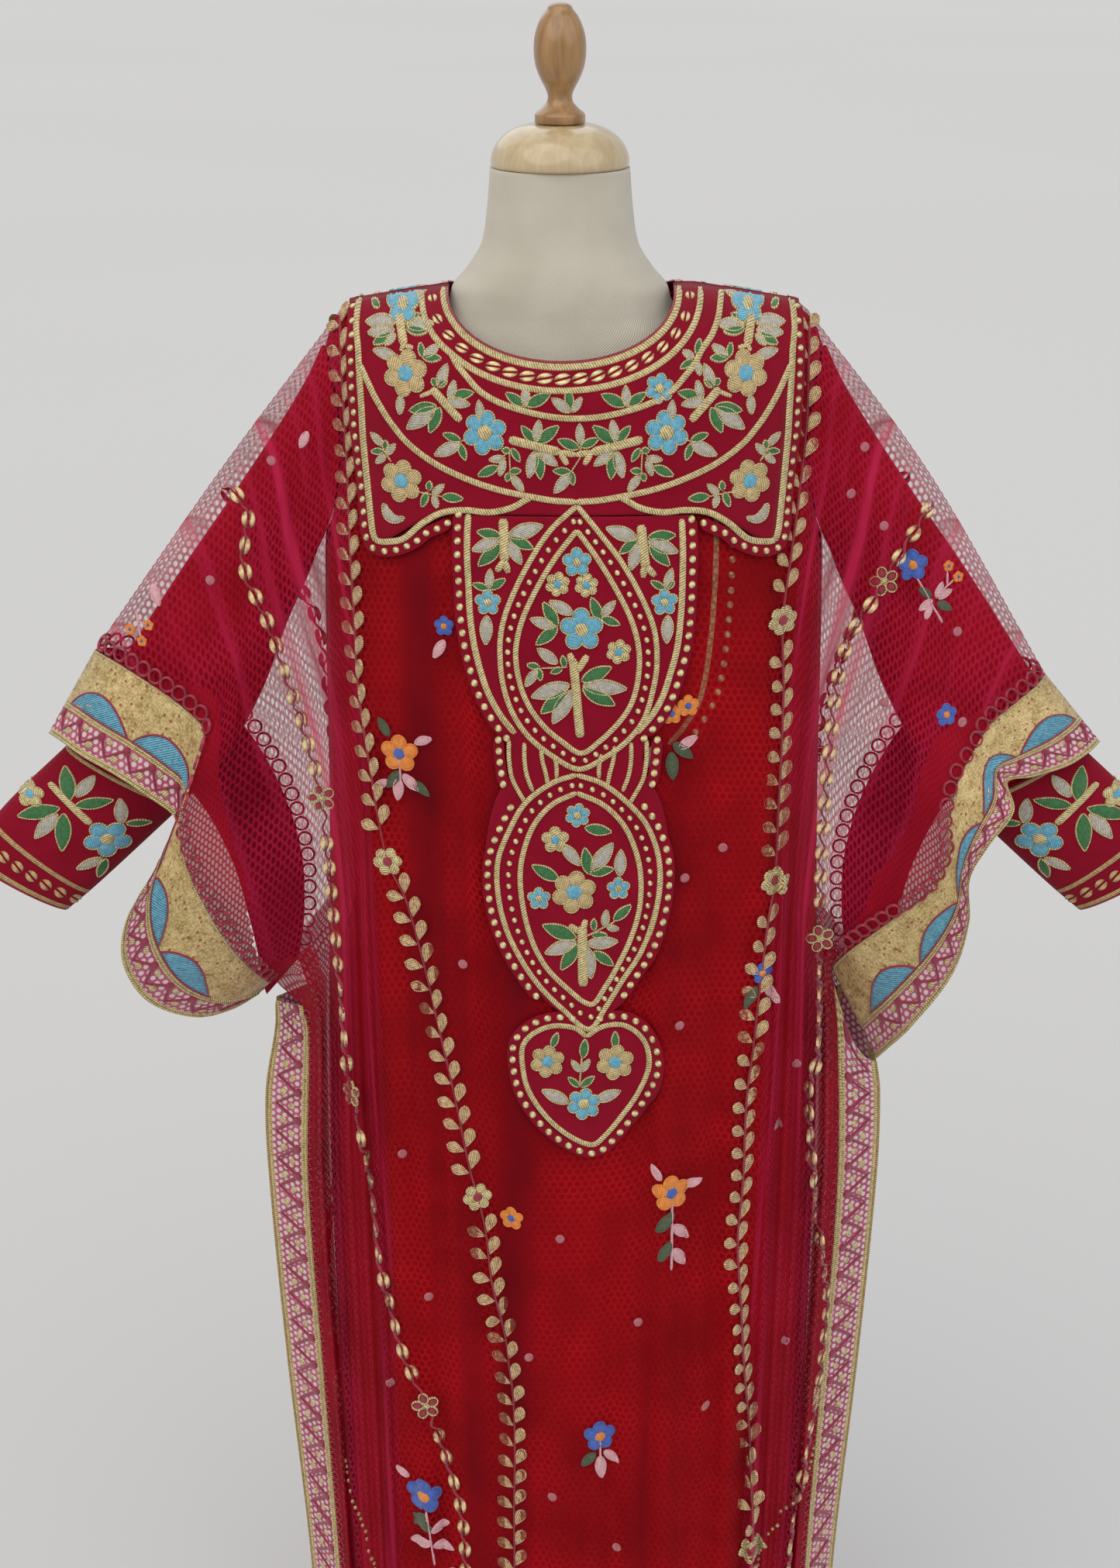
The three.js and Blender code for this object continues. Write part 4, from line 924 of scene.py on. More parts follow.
OVAL_1_LEAVES = [("g", -61, 1276, -81, 1279), ("s", -55, 1276, -26, 1285),
    ("s", -62, 1273, -85, 1264), ("g", -61, 1269, -80, 1251), ("g", -54, 1275, -34, 1266),
    ("s", -55, 1272, -44, 1253), ("s", 52, 1274, 26, 1283), ("g", 61, 1275, 84, 1276),
    ("g", 52, 1273, 37, 1262), ("s", 55, 1272, 46, 1248), ("s", 61, 1272, 86, 1262),
    ("g", 62, 1269, 79, 1251), ("s", -71, 1232, -70, 1249), ("g", -71, 1232, -85, 1236),
    ("g", -71, 1232, -57, 1241), ("s", -73, 1210, -74, 1185), ("s", 76, 1232, 81, 1249),
    ("g", 75, 1232, 63, 1239), ("g", 77, 1232, 83, 1239), ("s", 78, 1210, 77, 1186),
    ("s", -1, 1212, -21, 1223), ("g", -14, 1202, -26, 1222), ("s", -16, 1201, -37, 1208),
    ("g", -14, 1201, -32, 1186), ("g", 22, 1206, 14, 1226), ("s", 22, 1210, 34, 1223),
    ("g", 22, 1209, 38, 1203), ("g", 6, 1155, 31, 1167), ("s", 7, 1151, 44, 1148),
    ("g", 7, 1149, 34, 1134), ("s", -4, 1152, -36, 1141), ("g", -5, 1147, -28, 1127),
    ("s", -2, 1147, -18, 1118), ("s", -14, 1170, -31, 1183), ("g", -8, 1167, -10, 1177),
    ("g", -10, 1166, -20, 1162), ("g", -29, 1167, -40, 1169), ("g", -30, 1166, -28, 1155),
    ("s", -31, 1165, -41, 1150)]
OVAL_1_STEMS = [(-59, 1290, -58, 1255, 6.6), (-58, 1256, -65, 1247, 4.6),
    (-58, 1256, -55, 1246, 4.9), (55, 1285, 59, 1250, 6.6), (58, 1252, 57, 1242, 4.9),
    (59, 1252, 67, 1243, 4.6), (-1, 1174, 5, 1106, 6.2), (0, 1164, -4, 1179, 4.9),
    (2, 1163, 11, 1177, 4.9), (-6, 1167, -28, 1166, 1.5), (-71, 1232, -72, 1228, 1.3),
    (77, 1232, 76, 1228, 1.3)]
OVAL_1_FLOWERS = [("b", -72, 1221, 10.8, 5), ("b", 75, 1221, 11.1, 5), ("b", 2, 1255, 12.1, 5),
    ("y", -14, 1237, 10.5, 6), ("y", 10, 1236, 10.2, 6), ("b", 6, 1199, 18.3, 5),
    ("y", 37, 1180, 10.8, 6)]
BARS = [[(-55, 1103), (-55, 1086), (-52, 1068), (-41, 1047)],
        [(-42, 1101), (-42, 1086), (-40, 1072), (-35, 1058)],
        [(-28, 1098), (-27, 1086), (-24, 1074), (-22, 1063)],
        [(-17, 1091), (-15, 1081), (-15, 1070)]]
OVAL_2 = [(2, 1073), (-18, 1066), (-41, 1048), (-55, 1023), (-65, 995), (-65, 964), (-58, 933),
    (-45, 905), (-29, 881), (-10, 861), (13, 842), (28, 863), (42, 887), (57, 911), (67, 938),
    (73, 971), (72, 999), (62, 1027), (46, 1047), (24, 1065), (2, 1073)]
OVAL_2_IN = [(2, 1057), (-18, 1047), (-33, 1030), (-42, 1008), (-46, 984), (-44, 956), (-37, 926),
    (-25, 901), (-7, 881), (15, 865), (27, 881), (36, 897), (48, 923), (56, 951), (57, 982),
    (52, 1006), (42, 1028), (25, 1046), (2, 1057)]
OVAL_2_LEAVES = [("g", 9, 1026, 32, 1022), ("s", -10, 1011, 5, 992), ("g", 13, 984, 9, 1008),
    ("s", 15, 987, 33, 1012), ("g", 13, 985, 34, 989), ("g", -13, 979, -36, 992),
    ("s", 39, 982, 40, 1006), ("g", 2, 926, -27, 938), ("s", 2, 923, -25, 912),
    ("g", 3, 920, -11, 897), ("s", 11, 921, 38, 923), ("g", 17, 914, 34, 901),
    ("s", 10, 919, 15, 889), ("g", 17, 933, 17, 944), ("g", 15, 929, 29, 929),
    ("s", 26, 936, 28, 952), ("s", 28, 936, 39, 934), ("g", 34, 942, 49, 956)]
OVAL_2_STEMS = [(7, 937, 8, 882, 7), (7, 930, -4, 938, 4.5), (7, 930, 10, 943, 4.5),
    (9, 927, 35, 941, 1.6)]
OVAL_2_FLOWERS = [("b", 3, 1037, 11.1, 6), ("y", -16, 1015, 11.6, 5), ("o", 0, 968, 20.2, 6),
    ("b", -30, 962, 9.9, 5), ("b", 38, 971, 9.9, 5)]
HEART = [(11, 835), (1, 843), (-18, 845), (-35, 838), (-44, 827), (-45, 811), (-40, 786),
    (-25, 761), (-6, 743), (16, 733), (27, 741), (42, 760), (56, 781), (65, 804), (64, 824),
    (55, 838), (41, 846), (24, 844), (11, 835)]
HEART_LEAVES = [("g", -19, 825, -14, 839), ("g", 36, 824, 36, 840), ("g", 8, 815, 10, 833),
    ("s", 6, 802, -2, 813), ("s", 6, 802, 14, 814), ("g", 5, 788, -5, 797), ("g", 6, 788, 18, 798),
    ("s", -4, 773, -28, 785), ("s", 19, 775, 41, 784)]
HEART_STEMS = [(7, 816, 5, 788, 1.9)]
HEART_FLOWERS = [("o", -23, 812, 15.7, 6), ("o", 36, 811, 17.3, 6), ("b", 9, 772, 15.7, 6)]

# ------------------------------------ raised thread
# Work is laid out flat, in millimetres across, along and up, and then laid on the cloth.
SILKS = {"g": GREEN, "s": SILVER, "p": PINK, "o": OLIVE}
# petals and middle of each kind of flower
FLOWERS = {"b": (TURQUOISE, GOLD), "o": (OCHRE, TURQUOISE), "y": (GOLD, TURQUOISE),
           "r": (ORANGE, ROYAL), "v": (ROYAL, ORANGE), "c": (GOLD, CRIMSON)}
PAD_LIFT, CORD_CORNER = 1.2, 2.4   # a leaf's filling, and steps round a small outline


def run_of(path):
    """The distance along a path at each of its points."""
    return np.concatenate([[0], np.cumsum(np.linalg.norm(np.diff(path, axis=0), axis=1))])


def leftwards(path):
    """The direction across a path, to its left, at each of its points."""
    ahead = unit(np.gradient(path, axis=0))
    return np.stack([-ahead[:, 1], ahead[:, 0]], -1)


def curve(points, step=3.0, closed=False):
    """A smooth path through points, in even steps."""
    points = np.array(points, float)
    if closed:
        points = np.vstack([points[-2:], points, points[:3]])
    key = run_of(points)
    first, last = (key[2], key[-3]) if closed else (key[0], key[-1])
    steps = max(2, round((last - first) / step))
    return along(np.column_stack([key, points]), np.linspace(first, last, steps + 1))


def mirrored(rows, about):
    """The same path on the other hand."""
    return [(2 * about - x, z) for x, z in rows]


class Embroidery:
    """Thread shapes for one piece of cloth."""

    def __init__(self):
        self.points, self.uv, self.faces, self.finish, self.finishes = [], [], [], [], []
        self.count = 0

    def put(self, points, uv, faces, finish):
        if finish not in self.finishes:
            self.finishes.append(finish)
        self.points.append(points)
        self.uv.append(uv)
        self.faces += [[self.count + k for k in face] for face in faces]
        self.finish += [self.finishes.index(finish)] * len(faces)
        self.count += len(points)

    def cord(self, path, width, height, finish, rows=1):
        """Laid thread along a path; rows is how many run side by side."""
        path = np.array(path, float)
        n = leftwards(path)
        at = np.linspace(-1, 1, 2 * rows + 3)
        tall = np.sqrt(np.maximum(1 - at ** 2 * 0.75, 0))
        tall[2:-2:2] *= 0.72
        tall[[0, -1]] = -0.25
        if rows == 1:
            at, tall = np.array([-1, -0.6, 0, 0.6, 1]), np.array([-0.25, 0.7, 1, 0.7, -0.25])
        size = np.ones(len(path))
        size[[0, -1]] = 0.6
        lift = np.ones(len(path))
        lift[[0, -1]] = 0.1
        flat = path[:, None] + n[:, None] * (at[None, :, None] * width / 2) * size[:, None, None]
        up = np.broadcast_to(tall * height, (len(path), len(at))) * lift[:, None]
        uv = np.stack(np.broadcast_arrays(run_of(path)[:, None], at[None] * width / 2), -1)
        k = len(at)
        faces = [[i * k + j, (i + 1) * k + j, (i + 1) * k + j + 1, i * k + j + 1]
                 for i in range(len(path) - 1) for j in range(k - 1)]
        self.put(np.dstack([flat, up]).reshape(-1, 3), uv.reshape(-1, 2), faces, finish)

    def pad(self, outline, height, finish, turn=0.0):
        """A domed filling inside an outline."""
        outline = np.array(outline, float)
        x, y = outline.T
        if (x * np.roll(y, -1) - y * np.roll(x, -1)).sum() < 0:
            outline = outline[::-1]
        middle = outline.mean(0)
        rings = [(1, -0.2), (0.95, 0.5 * height), (0.68, 0.92 * height)]
        points = np.concatenate([
            np.column_stack([middle + (outline - middle) * s, np.full(len(outline), h)])
            for s, h in rings] + [[[*middle, height]]])
        k = len(outline)
        faces = [[r * k + j, r * k + (j + 1) % k, (r + 1) * k + (j + 1) % k, (r + 1) * k + j]
                 for r in range(len(rings) - 1) for j in range(k)]
        last = (len(rings) - 1) * k
        faces += [[last + j, last + (j + 1) % k, len(rings) * k] for j in range(k)]
        c, s = math.cos(turn), math.sin(turn)
        uv = (points[:, :2] - middle) @ np.array([[c, -s], [s, c]])
        self.put(points, uv, faces, finish)

    def leaf(self, fill, x0, z0, x1, z1, share=0.4, rim_finish=GOLD):
        """A leaf from its base to its tip: silk filling inside an outline."""
        base, tip = np.array([x0, z0], float), np.array([x1, z1], float)
        length = np.linalg.norm(tip - base)
        d = (tip - base) / length
        n = np.array([-d[1], d[0]])
        half = min(max(share * length / 2, 2.6), 6.5)
        t = np.linspace(0, 1, 9)
        wide = half * np.sin(np.pi * t ** 0.9) ** 0.8
        edge = np.vstack([base + length * t[:, None] * d + wide[:, None] * n,
                          (base + length * t[:, None] * d - wide[:, None] * n)[-2:0:-1]])
        self.pad(edge, PAD_LIFT, fill, math.atan2(d[1], d[0]) + 0.5)
        self.cord(curve(edge, CORD_CORNER, closed=True), 1.7, 1.5, rim_finish)

    def flower(self, kind, x, z, r, petals, turn=0.35, flat=1.0):
        """Round petals, each with a pale rim, about a raised middle."""
        fill, heart = FLOWERS[kind]
        tall = (1.6 if r > 12 else 1.1) * flat
        wide = 0.66 * r * math.sin(math.pi / petals)
        rim_turns = np.radians(np.linspace(-125, 125, 12))
        for k in range(petals):
            a = turn + 2 * math.pi * k / petals
            out = np.array([math.cos(a), math.sin(a)])
            side = np.array([-out[1], out[0]])
            middle = np.array([x, z]) + 0.58 * r * out
            whole, rim = (middle + wide * (np.cos(t) * out * 1.08 + np.sin(t) * side)
                          for t in (turns(14)[:, None], rim_turns[:, None]))
            self.pad(whole, tall, fill, a)
            self.cord(rim, 1.6, tall * 0.8 + 0.4, fill if kind in "rv" else GOLD)
        self.pad(circle(0.34 * r, 12, x, z), tall + 0.8, heart)

    def sprigs(self, leaves, stems, flowers, about=None, stem_thread=GOLD):
        """Leaves, stems and flowers from tables, and again mirrored where about is given."""
        for hand in [1] if about is None else [1, -1]:
            def at(x):
                return x if hand > 0 else 2 * about - x
            for kind, x0, z0, x1, z1 in leaves:
                if hand > 0 or abs(x0 - about) > 7:
                    self.leaf(SILKS[kind], at(x0), z0, at(x1), z1,
                              rim_finish=SILKS[kind] if kind in "po" else GOLD)
            for x0, z0, x1, z1, width in stems:
                if hand > 0 or abs(x0 - about) > 7:
                    rows = 3 if width > 4.5 else 2 if width > 3 else 1
                    self.cord(curve([(at(x0), z0), (at((x0 + x1) / 2), (z0 + z1) / 2),
                                     (at(x1), z1)], 3), width * (1.3 if width > 4 else 1),
                              2.4 if width > 4.5 else 1.6, stem_thread, rows)
            for kind, x, z, r, petals in flowers:
                self.flower(kind, at(x), z, r, petals, turn=0.35 if hand > 0 else 2.8)

    def lay(self, name, surface, lift, material_slot):
        """Lays the work on a surface, lift clear of it, as one piece."""
        flat = np.concatenate(self.points)
        base, normal = surface(flat[:, 0], flat[:, 1])
        points = base + normal * (flat[:, 2:] + lift)
        faces = self.faces
        a, b, c = (points[[f[k] for f in faces[:400]]] for k in range(3))
        facing = (np.cross(b - a, c - a) * normal[[f[0] for f in faces[:400]]]).sum(-1)
        if np.median(facing) < 0:
            faces = [face[::-1] for face in faces]
        uv = np.concatenate(self.uv)[[k for face in faces for k in face]]
        piece = new_piece(name, points, faces, self.finishes, uv, self.finish)
        if material_slot:
            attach(piece, "root")
        return piece


# ------------------------------------ what the work lies on
def unit(v):
    return v / np.maximum(np.linalg.norm(v, axis=-1, keepdims=True), 1e-9)


def face_of(form, sign, reach_mm=0.4):
    """A surface that gives its points and outward normals."""
    def surface(p, q):
        p, q = np.asarray(p, float), np.asarray(q, float)
        tp = form(p + reach_mm, q) - form(p - reach_mm, q)
        tq = form(p, q + reach_mm) - form(p, q - reach_mm)
        return form(p, q), unit(np.cross(tp, tq)) * sign
    return surface


def yoke_form(side):
    def form(x, z):
        z = np.minimum(z, ridge_z(x, YOKE_EASE) - 0.8)
        return placed(x, side * yoke_out(x, z, side), z)
    return face_of(form, -side)


def plastron_form(x, z):
    return placed(x, -plastron_out(x, z), z)


def trim_form(hand, side, kind):
    """A trim by distance along its middle and distance in from the net's edge."""
    border = kind == "sleeve_border"
    v = np.linspace(0, SLEEVE_END, 400) if border else np.linspace(BAND_TOP, HEM_V, 500)
    run = lengths(trim_point(0.5, v[:, None], hand, side), 0)[:, 0]
    width = BORDER_WIDE if border else BAND_WIDE

    def form(s, t):
        s = np.clip(s, 0.2, run[-1] - 0.2)
        p = trim_point(np.asarray(t) / width, np.interp(s, run, v), hand, side)
        p[..., 1] += side * TRIM_LIFT
        return p
    return face_of(form, -hand * side, 0.15), run[-1]


def cuff_form(hand, back=False):
    """A cuff's front or back: down from its top fold, and out along the sleeve."""
    angle = np.linspace(0, math.pi, 120)
    table_ = cuff_points(hand, np.linspace(0, 1, 60), -angle if back else angle)
    share = (1 - np.cos(angle)) / 2

    def form(p, q):
        i = np.clip(np.asarray(q) / CUFF_DOWN, 0, 1) * 59
        j = np.interp(np.clip(np.asarray(p) / CUFF_ACROSS, 0.004, 0.996), share, np.arange(120))
        i0, j0 = np.clip(i.astype(int), 0, 58), np.clip(j.astype(int), 0, 118)
        fi, fj = (i - i0)[..., None], (j - j0)[..., None]
        return ((1 - fi) * ((1 - fj) * table_[i0, j0] + fj * table_[i0, j0 + 1])
                + fi * ((1 - fj) * table_[i0 + 1, j0] + fj * table_[i0 + 1, j0 + 1]))
    return face_of(form, -hand if back else hand, 0.6)


def net_form(side):
    """The net's own outer face, whichever panel lies at x, z."""
    points, faces = [], []
    for each in [f"thobe_{SIDES[side]}_net"] + [
            named("thobe_side", side, hand) + "_net" for hand in (-1, 1)]:
        mesh = bpy.data.objects[each].data
        start = len(points)
        points += [v.co[:] for v in mesh.vertices]
        faces += [[start + k for k in f.vertices] for f in mesh.polygons]
    tree = BVHTree.FromPolygons(points, faces)

    def surface(x, z):
        x, z = np.broadcast_arrays(np.asarray(x, float), np.asarray(z, float))
        base, normal = np.zeros((x.size, 3)), np.zeros((x.size, 3))
        last = (np.array([0, side * 0.1, 1.0]), np.array([0, side, 0]))
        for k, (a, b) in enumerate(zip(x.ravel(), z.ravel())):
            hit, n, _, _ = tree.ray_cast(((a + GARMENT_X) / 1000, side * 1.0, b / 1000),
                                         (0, -side, 0))
            if hit is not None:
                n = np.array(n) * (1 if n.y * side > 0 else -1)
                last = (np.array(hit), n)
            base[k], normal[k] = last
        return base.reshape(*x.shape, 3) * 1000, normal.reshape(*x.shape, 3)
    return surface


def flat_ground(p, q):
    p, q = np.asarray(p, float), np.asarray(q, float)
    return np.stack([p, q, p * 0], -1), np.stack([p * 0, p * 0, p * 0 + 1], -1)


# ------------------------------------ what repeats
def repeat_tree():
    """Sets a motif at every place, turned and sized as the place says."""
    tree = bpy.data.node_groups.new("repeat_along_cloth", "GeometryNodeTree")
    for name, kind in (("Places", "Geometry"), ("Motif", "Object"), ("Thread", "Material"),
                       ("Size", "Float")):
        tree.interface.new_socket(name, in_out="INPUT", socket_type=f"NodeSocket{kind}")
    tree.interface.new_socket("Made", in_out="OUTPUT", socket_type="NodeSocketGeometry")
    start = add(tree, "NodeGroupInput")
    motif = add(tree, "GeometryNodeObjectInfo", _0=start.outputs["Motif"])
    turn = add(tree, "GeometryNodeInputNamedAttribute", {"data_type": "FLOAT_VECTOR", 0: "turn"})
    size = add(tree, "GeometryNodeInputNamedAttribute", {"data_type": "FLOAT_VECTOR", 0: "size"})
    scale = add(tree, VECTOR, {"operation": "SCALE"}, _0=size,
                Scale=start.outputs["Size"])
    rotation = add(tree, "FunctionNodeEulerToRotation", _0=turn)
    set_out = add(tree, "GeometryNodeInstanceOnPoints", Points=start.outputs["Places"],
                  Instance=motif.outputs["Geometry"], Rotation=rotation, Scale=scale)
    real = add(tree, "GeometryNodeRealizeInstances", _0=set_out)
    dyed = add(tree, "GeometryNodeSetMaterial", Geometry=real,
               Material=start.outputs["Thread"])
    add(tree, "NodeGroupOutput", _0=dyed)
    return tree


REPEAT = repeat_tree()


def repeat(name, motif, spots, surface, thread, lift=0.4):
    """Motifs at spots: (across, along, turn, size) each; size may be (long, wide, tall)."""
    spots = list(spots)
    p, q, turn = (np.array([s[k] for s in spots], float) for k in range(3))
    base, normal = surface(p, q)
    ahead = surface(p + np.cos(turn) * 1.5, q + np.sin(turn) * 1.5)[0] - base
    ahead = unit(ahead - normal * (ahead * normal).sum(-1, keepdims=True))
    side = np.cross(normal, ahead)
    places = new_piece(name + "_places", base + normal * lift, [])
    euler = [Matrix(np.column_stack([a, b, c]).tolist()).to_euler()[:]
             for a, b, c in zip(ahead, side, normal)]
    sizes = [s[3] if isinstance(s[3], (tuple, list)) else (s[3],) * 3 for s in spots]
    for attribute, values in (("turn", euler), ("size", sizes)):
        places.data.attributes.new(attribute, "FLOAT_VECTOR", "POINT").data.foreach_set(
            "vector", np.array(values, float).ravel())
    modifier = places.modifiers.new("repeat", "NODES")
    modifier.node_group = REPEAT
    named = {item.name: item.identifier for item in REPEAT.interface.items_tree
             if item.in_out == "INPUT"}
    modifier[named["Motif"]] = MOTIFS[motif]
    modifier[named["Thread"]] = thread
    modifier[named["Size"]] = 1.0
    graph = bpy.context.evaluated_depsgraph_get()
    made = bpy.data.meshes.new_from_object(places.evaluated_get(graph))
    made.name = name
    bpy.data.objects.remove(places)
    made.materials.clear()
    made.materials.append(thread)
    made.shade_smooth()
    piece = bpy.data.objects.new(name, made)
    bpy.context.collection.objects.link(piece)
    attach(piece, "root")
    return piece


def circle(radius, steps, x=0.0, z=0.0, wide=1.0):
    t = turns(steps)
    return np.stack([x + radius * np.cos(t), z + radius * wide * np.sin(t)], -1)


def make_motifs():
    """One of each motif that repeats, a millimetre across where its size is given later."""
    work = {name: Embroidery() for name in (
        "bead", "ring", "bean", "leaf_pair", "loop_flower", "loop_centre")}
    work["bead"].pad(circle(1, 12), 0.75, GOLD)
    work["ring"].cord(curve(circle(1, 10), 0.45, closed=True), 0.34, 0.34, CRIMSON)
    for hand in (-1, 1):
        t = np.linspace(0.12, math.pi - 0.12, 9)
        half = np.stack([np.cos(t), hand * (0.10 + 0.882 * np.sin(t))], -1)
        work["bean"].pad(half, 0.3, GOLD)
    for hand, lean in ((-1, 0.42), (1, 1.05)):
        t = np.linspace(0, 1, 8)
        wide = 4.6 * np.sin(np.pi * t ** 1.6) ** 0.8
        d = np.array([math.cos(lean), hand * math.sin(lean)])
        n = np.array([-d[1], d[0]])
        line = np.array([1.0 - 2 * hand, 1.6 * hand]) + (17 - hand) * t[:, None] * d
        edge = np.vstack([line + wide[:, None] * n, (line - wide[:, None] * n)[-2:0:-1]])
        work["leaf_pair"].pad(edge, 0.9, CHAIN, math.atan2(d[1], d[0]) + 1.2)
        work["leaf_pair"].cord(curve(edge, 3.2, closed=True), 1.7, 1.6, CHAIN)
    for k in range(5):
        a = 2 * math.pi * k / 5 + 0.3
        out = np.array([math.cos(a), math.sin(a)])
        side = np.array([-out[1], out[0]])
        t = turns(12)[:, None]
        loop = 7.2 * out + 4.9 * np.cos(t) * out + 4.0 * np.sin(t) * side
        work["loop_flower"].cord(curve(loop, 2.4, closed=True), 1.6, 1.6, GOLD)
        work["loop_centre"].pad(7.2 * out + 0.7 * (loop - 7.2 * out), 0.8, CRIMSON)
    work["loop_flower"].pad(circle(2.6, 10), 1.8, GOLD)
    return {name: each.lay(f"motif_{name}", flat_ground, 0.0, None)
            for name, each in work.items()}


MOTIFS = make_motifs()


def spaced(path, pitch, start=0.0):
    """Spots at an even pitch along a path, turned along it."""
    path = curve(path, 1.0)
    run = run_of(path)
    count = max(1, round((run[-1] - 2 * start) / pitch))
    at = np.linspace(start, run[-1] - start, count + 1)
    x, z = np.interp(at, run, path[:, 0]), np.interp(at, run, path[:, 1])
    ahead = np.gradient(path, axis=0)
    turn = np.interp(at, run, np.unwrap(np.arctan2(ahead[:, 1], ahead[:, 0])))
    return np.stack([x, z, turn], -1)

# ------------------------------------ the embroidery itself
# the chains down the front: x, z on the garment
LEAF_CHAINS = {-1: [(-198, 1440), (-193, 1340), (-190, 1257), (-187, 1192), (-185, 1138),
        (-174, 1057), (-161, 983), (-145, 950), (-131, 896), (-120, 848), (-109, 800), (-100, 754),
        (-91, 706), (-85, 681), (-78, 647), (-73, 599), (-61, 541), (-58, 516), (-54, 482),
        (-53, 425), (-54, 367), (-54, 310), (-56, 180), (-58, 48)],
    1: [(199, 1436), (197, 1397), (196, 1346), (190, 1295), (183, 1246), (177, 1194), (179, 1126),
        (177, 1029), (175, 962), (169, 923), (163, 868), (159, 817), (153, 764), (151, 686),
        (147, 630), (151, 566), (156, 494), (162, 434), (166, 369), (167, 305), (164, 180),
        (160, 48)]}
DISC_CHAINS = {-1: [(-294, 1296), (-279, 1277), (-283, 1231), (-264, 1186), (-248, 1139),
        (-232, 1085), (-220, 1030), (-211, 915), (-203, 797), (-198, 757), (-188, 712),
        (-180, 656), (-176, 611), (-166, 563), (-154, 518), (-134, 470), (-119, 425), (-104, 374),
        (-100, 340), (-98, 200), (-97, 48)],
    1: [(308, 1283), (286, 1250), (266, 1219), (233, 1160), (222, 1078), (217, 980), (218, 885),
        (219, 785), (212, 757), (220, 649), (237, 525), (235, 474), (230, 420), (223, 387),
        (215, 337), (206, 286), (202, 160), (200, 48)]}
LEAF_FLOWERS = {-1: [(-161, 983), (-85, 681), (-57, 230)],
    1: [(177, 1194), (175, 962), (167, 305)]}
DISC_FLOWERS = {-1: [(-220, 1030), (-198, 757), (-134, 470)],
    1: [(266, 1219), (230, 420), (218, 900)]}
# sprigs worked on the net: leaves, stems and flowers
NET_LEAVES = [("o", -149, 1066, -160, 1050), ("p", -146, 1064, -133, 1050),
    ("o", -158, 1096, -167, 1111), ("p", -136, 1092, -121, 1099), ("p", -150, 1060, -151, 1040),
    ("o", -138, 1058, -124, 1047), ("p", -160, 1056, -173, 1047), ("o", 88, 668, 74, 650),
    ("p", 88, 655, 102, 640), ("p", 98, 690, 113, 698), ("p", 77, 700, 69, 713),
    ("o", 86, 640, 76, 622), ("p", 89, 632, 99, 614), ("p", 72, 1100, 62, 1078),
    ("o", 84, 1098, 100, 1084), ("o", 82, 1090, 84, 1066), ("p", 88, 1093, 104, 1103),
    ("o", 308, 1203, 297, 1212), ("p", 309, 1201, 297, 1193), ("p", 312, 1203, 317, 1215),
    ("p", 314, 1202, 326, 1208), ("o", 313, 1199, 326, 1191), ("p", 308, 1198, 303, 1185),
    ("p", -109, 1186, -118, 1170), ("p", -366, 1208, -360, 1191), ("p", -226, 1347, -232, 1333),
    ("o", 20, 430, 8, 416), ("p", 28, 430, 41, 418), ("p", 24, 426, 26, 404),
    ("o", -135, 358, -146, 342), ("p", -131, 340, -114, 348), ("p", -130, 330, -150, 324),
    ("p", -129, 326, -110, 322), ("o", -130, 342, -147, 352), ("p", -151, 389, -163, 397),
    ("o", 160, 868, 150, 850), ("p", 168, 868, 180, 852)]
NET_STEMS = [(87, 680, 87, 612, 1.7), (-149, 1080, -148, 1050, 1.7), (294, 1222, 318, 1181, 1.7),
    (24, 443, 25, 412, 1.7), (312, 1204, 328, 1216, 1.5), (322, 1212, 322, 1224, 1.5),
    (-135, 362, -128, 306, 1.7), (-381, 1184, -377, 1162, 1.5), (-381, 1176, -371, 1174, 1.5)]
NET_FLOWERS = [("r", -149, 1082, 16, 5), ("r", 86, 687, 16, 5), ("r", -55, 660, 10, 5),
    ("r", 96, 1130, 9, 5), ("r", 82, 1124, 9, 5), ("v", -109, 1198, 8, 5), ("v", 24, 446, 14, 5),
    ("v", -137, 376, 16, 5), ("v", 291, 1231, 13, 5), ("v", 165, 880, 9, 5),
    ("v", 322, 1104, 9, 5), ("r", 323, 1228, 4, 5), ("r", 332, 1218, 4, 5),
    ("r", -387, 1168, 4, 5), ("r", -370, 1174, 4, 5), ("r", -376, 1160, 4, 5)]
NET_DOTS = [(92, 843), (95, 977), (-40, 526), (-19, 386), (-152, 714), (-130, 579), (-167, 483),
    (199, 786), (183, 731), (195, 512), (-12, 640), (58, 560), (40, 330), (120, 470), (-96, 900),
    (-60, 1000), (128, 1000), (-110, 300), (110, 240), (247, 1333), (236, 1294), (265, 1266),
    (332, 1172), (268, 1115), (337, 1096), (-313, 1218), (-258, 1321)]
HEM_ARCS = [[(-215, 365), (-212, 347), (-204, 327), (-195, 301), (-186, 272), (-184, 240)],
            [(229, 366), (222, 340), (207, 331), (191, 320), (177, 300), (172, 268)]]
ROBE_FRAME = [(119, 1289), (118, 1242), (115, 1189), (107, 1136), (91, 1108), (80, 1096)]
CUFF_LEAVES = [("g", 35, 47, 11, 20), ("s", 37, 40, 34, 11), ("g", 42, 48, 61, 23),
    ("g", 34, 59, 14, 93), ("s", 36, 65, 38, 98), ("g", 40, 61, 63, 92), ("s", 82, 40, 64, 19),
    ("g", 84, 38, 100, 27), ("s", 93, 77, 84, 99), ("g", 96, 76, 104, 96)]


# a laid cord's width and height in millimetres
BROAD_CORD, MIDDLE_CORD, BEAD_GROUND = (5.4, 1.9), (4.9, 1.8), (9.5, 0.5)
YOKE_MIDDLE, PLASTRON_MIDDLE = 1, 2     # about these the work is mirrored
BACK_LINE = 1316                        # the back yoke's work ends here
BEADS_OUT = 8                           # from the front piece's cords to its edge beads
